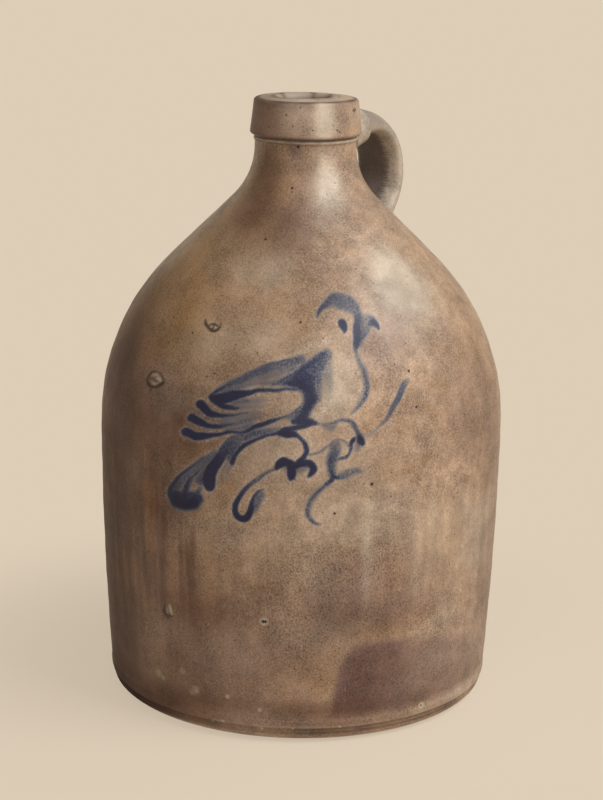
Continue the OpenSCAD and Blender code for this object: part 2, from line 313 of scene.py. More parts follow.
# Brushwork, in millimetres: how far right of the painted face's middle, height, width
# of the brush there, and how much cobalt it left, from 0 to 1
STROKES = {
    "crest": (
        (9.8, 233.8, 1.6, 0.5), (12, 236.5, 2.6, 0.62), (16, 239.3, 3, 0.62),
        (20, 241.3, 3.8, 0.56), (25, 242.4, 4.6, 0.5), (30, 241.8, 5, 0.45), (35, 240.3, 5, 0.42),
        (37.5, 238, 4, 0.36),
    ),
    "cheek": (
        (37, 236, 3.8, 0.42), (37.2, 232.5, 4, 0.6), (36.4, 229, 4.6, 0.74),
        (35.4, 226, 5.2, 0.84), (34.8, 223, 5, 0.86), (33.6, 220.3, 4, 0.76),
        (32.4, 218, 2.8, 0.5), (33, 214.5, 2.2, 0.36), (34.4, 211, 2.4, 0.42),
        (35.8, 207.5, 2.6, 0.5), (37, 203.5, 2.8, 0.52), (37.4, 200, 2.8, 0.54),
        (37, 197, 2.8, 0.56), (35.6, 194, 2.6, 0.55), (33.2, 191.2, 2.3, 0.5),
        (30.4, 188.6, 2.1, 0.42), (27.6, 186.4, 1.8, 0.32),
    ),
    "eye": (
        (25.6, 230.4, 4.4, 0.86), (27, 229.3, 4.8, 0.92), (27.3, 227.6, 3.2, 0.85),
        (26.4, 225.8, 1, 0.5),
    ),
    "beak": (
        (44.6, 229, 2.4, 0.55), (46.6, 230, 3.4, 0.7), (48.8, 229.6, 4, 0.8),
        (50.4, 228.2, 2.8, 0.88), (50.6, 226.8, 1.8, 0.85),
    ),
    "beak under": (
        (45, 228.3, 1.6, 0.45), (43, 226.3, 2, 0.45), (40.5, 224.6, 2.6, 0.5),
        (38, 223.2, 2.8, 0.6), (36, 222.4, 2.4, 0.7),
    ),
    "wing top": (
        (-2, 214, 1.4, 0.5), (-10, 212.6, 1.7, 0.6), (-15, 211.2, 2, 0.58),
        (-20, 209.6, 2.8, 0.55), (-25, 207.4, 3.2, 0.52), (-30, 204.8, 3.2, 0.5),
        (-35, 202.4, 3, 0.52), (-40, 199.8, 2.6, 0.58), (-45, 197, 2.2, 0.68),
        (-50, 193.8, 1.8, 0.8), (-51.8, 191.5, 1.5, 0.8),
    ),
    "shoulder band": (
        (-3, 207, 3, 0.72), (-8, 204, 3, 0.66), (-12.5, 201.8, 2, 0.6), (-17, 200.6, 1.4, 0.5),
    ),
    "under wing": (
        (-3, 198.5, 1.4, 0.7), (-8, 198.6, 1.5, 0.75), (-15, 197.9, 1.8, 0.8),
        (-20, 197.7, 2, 0.8), (-25, 197, 2.2, 0.85), (-30, 195.8, 2.8, 0.9),
        (-35, 194.5, 4.5, 0.92), (-40, 193, 5.5, 0.92), (-45, 191.5, 6, 0.92),
        (-49, 190.8, 5, 0.9), (-51.5, 191.5, 3, 0.85),
    ),
    "wing tip lobe": (
        (-48, 189, 3, 0.85), (-44, 188, 3.2, 0.9), (-40, 187.6, 2.6, 0.85), (-36, 187.5, 2, 0.7),
        (-33, 188, 1.2, 0.4),
    ),
    "wing streak": ((-35, 189.8, 2, 0.35), (-25, 191, 2, 0.3), (-18, 191.5, 1, 0.1)),
    "wing streak low": ((-32, 187.3, 1.2, 0.35), (-22, 188.2, 1, 0.2)),
    "feather 2": (
        (-58.4, 187.2, 4, 0.85), (-57, 187.2, 5, 0.9), (-54, 185, 5, 0.92), (-51, 183.4, 4, 0.9),
        (-47, 182.7, 2.8, 0.88), (-43, 182.9, 2.1, 0.82), (-38, 183.8, 1.6, 0.72),
        (-33, 184.8, 1.3, 0.6), (-28, 185.8, 1.1, 0.45), (-24, 186.5, 0.9, 0.3),
    ),
    "feather 2 under": (
        (-45, 181.2, 1, 0.3), (-36, 182, 1.2, 0.35), (-30, 183.2, 1.2, 0.35),
        (-25, 184.3, 1, 0.25),
    ),
    "feather 3": (
        (-62.6, 179.2, 4, 0.85), (-61.2, 179.3, 4.8, 0.88), (-58, 178.2, 4.4, 0.9),
        (-54, 177.3, 3.8, 0.9), (-50, 176.9, 3, 0.88), (-46, 177, 2.4, 0.82),
        (-42, 177.8, 2.1, 0.7), (-37, 179, 1.8, 0.56), (-32, 180.2, 1.7, 0.48),
        (-27, 181.5, 1.4, 0.4), (-23, 183, 1.1, 0.25),
    ),
    "feather 4": (
        (-65.8, 171.2, 4.4, 0.85), (-64, 171.5, 5.2, 0.88), (-60, 170.6, 4.8, 0.92),
        (-56, 170.5, 4.2, 0.92), (-52, 171.2, 3.4, 0.92), (-48, 172.2, 2.6, 0.9),
        (-44, 173.3, 1.9, 0.88), (-40, 174.4, 1.8, 0.85), (-36, 175, 1.6, 0.82),
        (-32, 175.3, 1.8, 0.82), (-28, 177, 2.2, 0.85), (-24, 178.8, 2.6, 0.88),
        (-20, 180.5, 2.6, 0.88), (-16, 182.2, 2.2, 0.85), (-12, 183.6, 1.5, 0.7),
        (-8, 184.8, 1.2, 0.6), (-4, 187, 1.4, 0.6), (-1, 189.5, 1.5, 0.6),
    ),
    "belly line": (
        (10, 181.4, 1, 0.6), (5, 181, 2, 0.85), (0, 180, 2.6, 0.86), (-5, 178.6, 3, 0.88),
        (-9, 177.6, 2.8, 0.86), (-13, 176.3, 1.8, 0.85), (-17, 175, 1.5, 0.86),
        (-21, 173.4, 1.6, 0.87), (-25, 171.5, 1.8, 0.88), (-29, 169.3, 2.2, 0.9),
        (-32, 166.6, 2.4, 0.88), (-34.5, 163.6, 2.6, 0.82), (-36, 160.6, 2.8, 0.82),
        (-36.6, 158.6, 2.6, 0.86),
    ),
    "tail right": (
        (-30, 173.5, 2.4, 0.5), (-34.5, 171.8, 4.4, 0.56), (-38, 169, 5.6, 0.58),
        (-40.6, 165.6, 6, 0.66), (-42.4, 162, 5.8, 0.76), (-45, 158.4, 6, 0.88),
        (-47.8, 154.4, 6.6, 0.92), (-49.4, 150.4, 7.2, 0.93), (-49.9, 147, 8.4, 0.93),
        (-49.6, 144.8, 6.8, 0.9),
    ),
    "tail left": (
        (-46, 163.8, 1.6, 0.42), (-50, 161.4, 1.8, 0.5), (-55, 157.8, 1.9, 0.55),
        (-60, 153.8, 1.9, 0.66), (-65, 149.8, 2, 0.75), (-69, 146.2, 2.1, 0.78),
        (-72.6, 142, 2.4, 0.8), (-75, 138, 3, 0.8), (-76, 134.5, 3, 0.78),
    ),
    "tail left inner": (
        (-64.4, 141.5, 2.6, 0.85), (-62.8, 144.5, 1.8, 0.82), (-60.4, 147.4, 1.6, 0.78),
        (-57.6, 150, 1.5, 0.72), (-54.8, 152.6, 1.4, 0.6), (-51, 156.4, 1.4, 0.5),
    ),
    "left leg": (
        (-11.6, 176.4, 2.6, 0.88), (-8, 176, 4, 0.92), (-4, 175.7, 3.2, 0.9),
        (-1.6, 174.6, 2.1, 0.85), (0.6, 173, 2, 0.85), (2.4, 170.8, 2.4, 0.87),
        (3, 168.2, 2.6, 0.88), (2.5, 165.6, 2.4, 0.9), (0.9, 163, 2.8, 0.9),
        (-0.4, 161.3, 3.6, 0.92),
    ),
    "left claw back": (
        (-0.5, 160.4, 3.4, 0.92), (-3, 159.4, 3.8, 0.92), (-5.5, 160.6, 4.2, 0.92),
        (-8.5, 161, 5, 0.92), (-11, 159.8, 4.6, 0.92), (-12.4, 158.2, 3, 0.88),
    ),
    "left claw down": (
        (-5.4, 159.5, 4.2, 0.92), (-4.6, 156.5, 4.6, 0.92), (-4.6, 153.8, 4.4, 0.92),
        (-5, 152.6, 3, 0.88),
    ),
    "left claw front": (
        (0.6, 160.6, 3.4, 0.92), (4, 160.8, 3.6, 0.92), (6.3, 159.3, 3.8, 0.92),
        (6.9, 157, 3.6, 0.92), (5.8, 155.2, 2.6, 0.9), (4.6, 153.6, 1.6, 0.85),
    ),
    "twig hook": (
        (-13, 157.5, 1.8, 0.4), (-16, 155.8, 1.9, 0.44), (-20, 153.2, 2.2, 0.5),
        (-23, 150.8, 2.4, 0.52), (-26, 148.2, 2.4, 0.64), (-29, 145, 2.3, 0.76),
        (-31.5, 141.8, 2.4, 0.84), (-33.5, 138.3, 2.8, 0.9), (-34.9, 134.8, 3, 0.9),
        (-34.7, 131.6, 3.2, 0.93), (-33, 129.2, 3.4, 0.95), (-30.4, 128.2, 3.6, 0.97),
        (-28, 129.6, 3.6, 0.97), (-26.5, 132.6, 3.4, 0.95), (-25.7, 136, 2.8, 0.92),
        (-25, 139.2, 1.8, 0.88), (-23.8, 142, 1.5, 0.8), (-21.8, 144.6, 1.3, 0.7),
        (-19, 145.8, 1, 0.5),
    ),
    "right leg": (
        (10, 181, 1.2, 0.36), (13.5, 181, 2, 0.38), (17, 181.9, 2, 0.42), (21, 182.8, 1.9, 0.46),
        (25, 182.8, 2.2, 0.5), (27.6, 181.4, 2.6, 0.52), (29.2, 178.8, 2.8, 0.56),
        (30.4, 176, 2.6, 0.62), (31.4, 174, 3.2, 0.8), (32, 172.2, 4.2, 0.9), (33, 170.6, 3, 0.9),
    ),
    "right claw": (
        (28, 172.5, 2.6, 0.85), (26.8, 171, 2.4, 0.85), (26.6, 168.5, 2, 0.7), (26, 166, 1.8, 0.6),
        (24.8, 164, 1.8, 0.65), (22.5, 163, 1.8, 0.7), (20, 162.8, 1.4, 0.6),
    ),
    "twig loop": (
        (16.4, 170, 1.8, 0.42), (17.2, 172, 1.5, 0.42), (19.4, 173, 1.4, 0.42),
        (22, 172.7, 1.3, 0.46), (24.2, 171.3, 1.3, 0.46), (25.4, 169.4, 1.3, 0.5),
    ),
    "twig stem": (
        (17, 170.6, 2, 0.42), (17.6, 168, 2.6, 0.5), (17.2, 165.4, 3.2, 0.6),
        (16, 162.6, 3.4, 0.7), (15.4, 160, 3.2, 0.68), (15.9, 157.4, 2.6, 0.66),
        (17, 155, 2.6, 0.74), (17.6, 153.3, 3, 0.8), (16.8, 151.8, 2.6, 0.72),
    ),
    "perch": (
        (4, 164.9, 1, 0.45), (7, 165.7, 1.3, 0.52), (10, 167, 1.5, 0.46), (13, 168.8, 1.8, 0.4),
        (15.4, 170.2, 1.8, 0.34),
    ),
    "branch right": (
        (17.8, 153, 2.6, 0.85), (20, 152.8, 3, 0.6), (23, 153.6, 3, 0.46), (26, 155, 3.2, 0.42),
        (29.5, 155.7, 3.2, 0.42), (33, 155.2, 2, 0.3),
    ),
    "branch down": (
        (16.8, 151.5, 2.4, 0.8), (14.5, 149.6, 2.2, 0.7), (12, 147.4, 2.2, 0.62),
        (9.5, 145, 2.2, 0.62), (7.3, 142.3, 2.3, 0.56), (5.5, 139.3, 2.4, 0.55),
        (4.3, 136.3, 2.4, 0.52), (4, 133.5, 2.3, 0.55), (4.8, 131, 2.2, 0.56),
        (6.6, 129, 2.2, 0.62), (8.6, 127.8, 2, 0.56), (10.8, 127.3, 1.4, 0.45),
    ),
    "twig right": (
        (63.5, 200.8, 2.8, 0.34), (61, 199, 3.8, 0.42), (58.4, 196.2, 3.9, 0.5),
        (55.6, 192.6, 3.8, 0.55), (52.4, 188.6, 3.3, 0.52), (49.4, 184.9, 2.9, 0.48),
        (46.4, 181.6, 2.4, 0.42), (43, 178.8, 1.8, 0.36), (39, 176.2, 1.2, 0.3),
        (35, 174, 1, 0.24),
    ),
    "patch foot": (
        (-4, 182.6, 3, 0.8), (0, 182.8, 4, 0.88), (4, 182, 3, 0.88), (7.6, 181.8, 1.6, 0.8),
    ),
}

# Washes, laid with a wet brush, with broad soft edges
WASHES = {
    "crest": (
        (15, 239, 4, 0.42), (22, 241, 6.4, 0.5), (27, 240.4, 8, 0.5), (32, 239.4, 9, 0.48),
        (37, 237, 8, 0.46), (38, 232.5, 7, 0.5), (37.4, 228, 8, 0.56), (35.2, 222, 6.6, 0.5),
    ),
    "beak": (
        (40, 231, 6, 0.36), (44, 231.6, 5.4, 0.36), (47.5, 231.4, 4.8, 0.46),
        (49.4, 229.6, 4, 0.5),
    ),
    "beak under": ((44, 228.5, 4, 0.4), (41, 226.6, 5, 0.42), (38.5, 225, 5, 0.46)),
    "breast": (
        (33.5, 214, 4, 0.3), (36.4, 205, 5, 0.34), (36.4, 197, 5, 0.34), (32, 191, 4, 0.28),
    ),
    "wing": (
        (-48, 195, 4, 0.5), (-41, 198.8, 5, 0.52), (-32, 203, 5, 0.54), (-24, 206.4, 5, 0.52),
        (-16, 209, 5, 0.5), (-8, 211, 5, 0.5), (0, 213, 5, 0.5),
    ),
    "wing middle": (
        (-46, 195.4, 4, 0.34), (-36, 199.6, 5, 0.36), (-26, 203, 5, 0.34), (-14, 206.4, 5, 0.36),
        (-4, 209.4, 5, 0.42),
    ),
    "wing low": (
        (-44, 195.2, 5, 0.5), (-36, 198, 4, 0.46), (-28, 200.2, 2.4, 0.44),
        (-20, 201.4, 2.2, 0.46), (-12, 202, 3, 0.54),
    ),
    "wing streak": ((-38, 190.2, 4, 0.46), (-30, 191.6, 4, 0.42), (-20, 192.6, 3, 0.26)),
    "wing streak low": ((-36, 187.4, 3, 0.42), (-28, 188.8, 2.8, 0.36), (-19, 190.2, 2, 0.24)),
    "feather 2": (
        (-44, 181, 2.2, 0.4), (-36, 182.2, 2.6, 0.42), (-28, 184.4, 2.6, 0.38),
        (-21, 186.6, 2, 0.26),
    ),
    "feather 3": (
        (-44, 178.6, 2.2, 0.46), (-36, 180, 3, 0.5), (-28, 182.4, 3, 0.46), (-22, 184.6, 2, 0.26),
    ),
    "feather 4": ((-40, 176, 2, 0.46), (-33, 177.2, 3, 0.5), (-27, 179.6, 3, 0.46)),
    "patch": (
        (15, 215.8, 6, 0.46), (10.5, 211.5, 8, 0.54), (8, 206.5, 8, 0.52), (8.4, 200.5, 7, 0.5),
        (9, 196, 5, 0.42),
    ),
    "patch core": (
        (13, 215, 3, 0.7), (7, 212, 4, 0.76), (1, 208.6, 5, 0.8), (-3, 205, 5, 0.86),
        (0, 201.4, 6, 0.9), (5, 197, 5, 0.92), (4.6, 191, 4, 0.92), (2, 186, 3, 0.88),
        (1, 183, 3, 0.86),
    ),
    "patch edge": ((-9, 202.6, 2, 0.86), (-4, 201, 3, 0.9), (1, 198.6, 3, 0.9)),
    "patch left": ((-6, 205.6, 3, 0.66), (-12, 202.6, 2.4, 0.6), (-20, 201.4, 1.6, 0.46)),
    "patch tip": ((8, 195, 3, 0.8), (9.4, 193.8, 1.6, 0.7)),
    "tail blob": ((-71, 133, 9, 0.9), (-65, 132, 8, 0.92), (-59, 134, 8, 0.9)),
    "tail blob left": ((-74, 134, 5, 0.86), (-74, 139, 4, 0.72), (-71, 144, 3, 0.5)),
    "tail blob middle": ((-65, 136, 6, 0.86), (-63.6, 141.6, 4, 0.76), (-60, 147, 3, 0.6)),
    "tail blob right": ((-58, 137, 5, 0.8), (-55.4, 142, 3, 0.56)),
    "patch fade": ((14.5, 212.5, 7, 0.32), (14, 206, 8, 0.28), (14, 199, 7, 0.2)),
    "patch foot": ((-8, 184.4, 3, 0.42), (-3, 186.4, 4, 0.54), (0, 188.6, 3, 0.54)),
    "belly": ((12, 180.4, 3, 0.32), (16, 179.2, 3.6, 0.42), (19, 181.6, 2.6, 0.36)),
    "tail": (
        (-12, 178.4, 3, 0.42), (-20, 176.2, 4.4, 0.52), (-28, 173.8, 5, 0.56),
        (-33, 170.4, 5, 0.52), (-36.8, 165.6, 5, 0.62), (-38.6, 160.6, 4, 0.56),
    ),
    "tail left": (
        (-45, 162.2, 4, 0.54), (-50, 158.6, 6, 0.5), (-56, 154.4, 6, 0.47), (-62, 149.8, 6, 0.47),
        (-67.6, 144.8, 7, 0.5), (-72, 139.6, 7, 0.58),
    ),
    "tail middle": ((-46.6, 159.6, 4, 0.62), (-51, 153, 5, 0.54), (-55.4, 146.4, 6, 0.62)),
    "tail streak": ((-44.6, 146.6, 1.6, 0.26), (-42, 152.4, 2, 0.36), (-39.4, 158, 2.2, 0.38)),
    "tail streak right": (
        (-40, 149.8, 1.6, 0.34), (-38.6, 154, 1.8, 0.4), (-36.8, 157.6, 2.2, 0.46),
    ),
    "twig hook": ((-24.6, 134, 4, 0.5), (-23, 138.4, 5.6, 0.52), (-21, 142.6, 5, 0.48)),
    "claws": ((-9, 160, 5, 0.36), (-4.6, 156, 4, 0.36), (4, 159.4, 5, 0.36)),
    "twig stem": (
        (18.6, 170, 5.6, 0.48), (17.4, 165, 6.4, 0.54), (16, 160, 6, 0.52),
        (17.2, 154.6, 5.4, 0.5),
    ),
    "right claw": ((31.6, 174, 5, 0.46), (30.8, 170, 4, 0.4), (29, 167, 3, 0.28)),
    "branch": ((20, 153.2, 4.6, 0.42), (25, 154.8, 5, 0.42), (30, 155.8, 4.4, 0.36)),
    "branch down": (
        (15, 150, 3.6, 0.4), (9, 144.6, 4, 0.4), (5, 138, 4, 0.38), (4.4, 132, 3.6, 0.36),
    ),
}

# Filled shapes: the cobalt they hold, and their outline in millimetres
FILLS = {
    "wing patch": (0.66, (
        (-13.5, 201.6), (-9, 204.2), (-5, 207.2), (-1, 210.6), (6, 214.4), (12, 217.4),
        (15.6, 218.2), (15, 214.6), (12, 211), (9, 206.5), (8.4, 202.5), (8.4, 199.5), (9.6, 196),
        (9.4, 193.6), (6.8, 190.4), (4.6, 187), (3.6, 184.6), (9, 181.8), (2, 180.6), (-4, 180.8),
        (-6.5, 183.6), (-2.4, 187), (-0.2, 190), (0.6, 193.4), (0, 196.4), (-3, 198.8),
        (-8, 199.6), (-12, 200),
    )),
    "wing patch low": (0.84, (
        (-13, 201.4), (-8, 203.4), (-3, 206.4), (1, 208.6), (6, 206.4), (7.4, 202), (8.4, 198),
        (9.4, 194), (6.8, 190.6), (4.8, 187), (4, 184.6), (8, 182), (2, 180.8), (-3, 181),
        (-4.6, 183.4), (-1.4, 187), (0.4, 190), (1.2, 193.4), (0.6, 196.6), (-2.6, 199),
        (-8, 199.8),
    )),
    "tail blob": (0.8, (
        (-76.2, 137), (-76.6, 133), (-74.4, 129.8), (-70, 127.8), (-65, 127.8), (-60, 130),
        (-55, 132.6), (-52.8, 135.6), (-54, 138.8), (-60, 140), (-66, 138.6), (-72, 139),
    )),
}

# Pale glaze that draws back from the cobalt
HALOS = {
    "wing": ((-2, 216.5, 3, 0.35), (5, 219.5, 3, 0.4), (12, 221.5, 3, 0.4), (17, 222.5, 3, 0.3)),
    "patch": (
        (16.5, 210, 5, 0.4), (18, 204, 6, 0.5), (17, 197, 7, 0.5), (13, 190, 6, 0.45),
        (9, 186, 4, 0.4),
    ),
    "hook": ((-20, 137, 4, 0.3), (-17, 141, 4, 0.3)),
    "breast": (
        (31, 216, 2.5, 0.4), (33, 210, 2.5, 0.4), (34.5, 203, 2.5, 0.45), (34, 197, 2.5, 0.35),
    ),
    "beak": ((40, 235, 3, 0.35), (45, 234, 3, 0.35), (50, 232, 3, 0.3)),
}


def bell(away, wide=1, power=2):
    """A soft hump: e to the minus of a power of the distance in its own half width."""
    return np.exp(-np.abs(away / wide) ** power)


def eased(share):
    """A share held from 0 to 1 and eased at both ends: 3 of its squares less 2 cubes."""
    share = np.clip(share, 0, 1)
    return share * share * (3 - 2 * share)


def stroke_line(stroke, step=0.5):
    """A smooth line through a stroke's points, by the Catmull-Rom cubic, with points
    about a step apart."""
    p = np.array(stroke, float)
    if len(p) == 2:
        p = np.vstack([p[0], p.mean(0), p[1]])
    ends = np.vstack([2 * p[0] - p[1], p, 2 * p[-1] - p[-2]])
    pieces = []
    for a, b, c, d in zip(ends[:-3], ends[1:-2], ends[2:-1], ends[3:]):
        n = max(2, int(math.hypot(*(c - b)[:2]) / step))
        t = (np.arange(n) / n)[:, None]
        bend = 2 * a - 5 * b + 4 * c - d + t * (3 * (b - c) + d - a)
        pieces.append(b + t / 2 * (c - a + t * bend))
    return np.vstack(pieces + [p[-1:]])


def brushed(u, z, strokes, soft, wider=0.0):
    """How much the strokes leave at each point: the density of the nearest point of a
    stroke, full within half its width and easing to none over a soft edge."""
    density = np.zeros(u.shape)
    for stroke in strokes.values():
        line = stroke_line(stroke)
        line[:, 2] += wider
        reach = line[:, 2].max() / 2 + soft
        low, high = line[:, :2].min(0) - reach, line[:, :2].max(0) + reach
        near = (u > low[0]) & (u < high[0]) & (z > low[1]) & (z < high[1])
        away = np.hypot(u[near][:, None] - line[:, 0], z[near][:, None] - line[:, 1])
        left = (eased(0.5 - (away - line[:, 2] / 2) / soft) * line[:, 3]).max(1)
        density[near] = np.maximum(density[near], left)
    return density


def filled(u, z, fills, soft):
    """How much closed outlines hold: all of it where a point is inside by the even-odd
    rule and half a soft edge from the outline, easing to none as far outside it."""
    density = np.zeros(u.shape)
    for held, outline in fills.values():
        p = np.array(outline, float)
        q = np.roll(p, -1, axis=0)
        low, high = p.min(0) - soft, p.max(0) + soft
        near = (u > low[0]) & (u < high[0]) & (z > low[1]) & (z < high[1])
        x, y = u[near][:, None] - p[:, 0], z[near][:, None] - p[:, 1]
        edge = q - p
        crosses = (y < 0) != (y < edge[:, 1])
        rise = np.where(edge[:, 1] == 0, 1, edge[:, 1])
        inside = (crosses & (x < edge[:, 0] * y / rise)).sum(1) % 2 == 1
        share = np.clip((x * edge[:, 0] + y * edge[:, 1]) / (edge**2).sum(1), 0, 1)
        away = np.hypot(x - share * edge[:, 0], y - share * edge[:, 1]).min(1)
        left = held * eased(0.5 + np.where(inside, away, -away) / soft)
        density[near] = np.maximum(density[near], left)
    return density


def painted(u, z):
    """Cobalt at each point: the most of the strokes, the filled shapes and the soft
    washes, and a little that bled from the strokes into the glaze."""
    # The hand wavers a little
    u, z = (u + 0.16 * np.sin(z / 2.9 - u / 2.3) + 0.1 * np.sin(z / 1.3 + 2),
            z + 0.16 * np.sin(u / 2.7 + z / 3.1) + 0.1 * np.sin(u / 1.2))
    full = np.maximum(brushed(u, z, STROKES, 1.6, 0.1), filled(u, z, FILLS, 3.6))
    bled = np.maximum(brushed(u, z, STROKES, 4.5), filled(u, z, FILLS, 7))
    return np.maximum.reduce([full, 0.18 * bled, brushed(u, z, WASHES, 4)])


# Kiln marks in the body's surface, in millimetres: middle, height, half width, half
# height, how far it stands out, and how far the ring round it does
SCARS = (
    (-92.5, 194.8, 6.6, 3.6, -0.45, 0.2), (-60.5, 225.4, 4.6, 1.5, -0.4, 0.1),
    (-77, 68.5, 2.6, 4.0, 0.7, 0.0),
)

# Dark outlines that the marks have, heavier on their lower sides where painted shade falls under
# them, as brushwork is given
SCAR_LINES = {
    "blister": (
        (-99.7, 193.5, 1.2, 0.6), (-98.2, 196.6, 0.9, 0.6), (-95.3, 198.6, 0.6, 0.55),
        (-91.3, 198.8, 0.5, 0.45), (-88.1, 197.7, 0.7, 0.5), (-86, 195.7, 0.9, 0.6),
        (-85.4, 194.1, 1.1, 0.8), (-87.3, 193.2, 1.3, 1), (-89.7, 191.7, 0.9, 0.9),
        (-92.9, 190.8, 0.8, 0.8), (-95.8, 191, 1.5, 1), (-98, 191.9, 1.4, 1),
        (-99.3, 193, 1.1, 0.8),
    ),
    "blister drip": ((-94.5, 190.1, 1.6, 0.5), (-94.7, 187.6, 1, 0.5)),
    "blister crease": (
        (-97.7, 194.4, 0.8, 0.5), (-95, 194.6, 0.6, 0.45), (-91.3, 193.7, 0.5, 0.4),
    ),
    "chip": (
        (-68, 228.2, 0.8, 0.6), (-66.6, 226.8, 1.1, 0.8), (-64.2, 225.4, 0.9, 0.85),
        (-62, 224.4, 0.9, 0.9), (-59.4, 223.9, 1, 0.9), (-57, 224.3, 0.9, 0.85),
        (-55.6, 225.5, 0.9, 0.8), (-55, 226.8, 0.7, 0.6), (-56, 228, 0.6, 0.4),
    ),
    "chip inner": (
        (-63.4, 226.4, 0.5, 0.6), (-61, 226.9, 0.6, 0.75), (-58.4, 226.7, 0.6, 0.7),
        (-56.6, 226, 0.5, 0.5),
    ),
    "chip middle": ((-60.2, 225.9, 0.6, 0.7), (-60, 225.1, 0.6, 0.7)),
    "drip": (
        (-80.4, 70.4, 1, 0.5), (-81.2, 67.6, 1.4, 0.6), (-80, 65.2, 1.8, 0.65),
        (-77.4, 65, 1.4, 0.6), (-75.2, 65.6, 1, 0.5),
    ),
    "scratch": ((-52.6, 65.8, 0.4, 0.5), (-51.4, 64, 0.4, 0.5)),
    "run left": ((-96, 128, 2, 0.1), (-97, 112, 3, 0.3), (-97.5, 96, 3, 0.2), (-97, 80, 2, 0.1)),
}

# Pale bare clay in the marks, and painted highlight on the drip
BARE_SPOTS = {
    "blister top": ((-96.1, 196.6, 0.9, 0.4), (-93.3, 197.3, 1, 0.5), (-90.8, 197.3, 0.8, 0.35)),
    "blister right": ((-91.6, 195.7, 1.2, 0.6), (-89.4, 195.5, 1.6, 0.7), (-87.3, 194.8, 1, 0.5)),
    "blister low": ((-95, 192.6, 1, 0.35), (-92.1, 192.8, 1.1, 0.4), (-90.2, 193, 0.8, 0.3)),
    "chip left": ((-62.4, 225.7, 0.7, 0.7), (-61.4, 225.6, 0.7, 0.6)),
    "chip right": ((-58.9, 225.6, 0.8, 0.75), (-57.6, 225.3, 0.6, 0.6)),
    "chip over": ((-64.8, 227.4, 0.8, 0.35), (-62, 228, 0.8, 0.3)),
    "drip": ((-76.8, 72, 0.8, 0.45), (-76, 69.6, 1.2, 0.6), (-75.2, 67, 0.8, 0.5)),
    "drip left": ((-79, 69.4, 1, 0.25), (-78, 67.6, 1.2, 0.3)),
    "scratch": ((-51.8, 66.4, 0.4, 0.5), (-50.6, 64.6, 0.4, 0.4)),
}
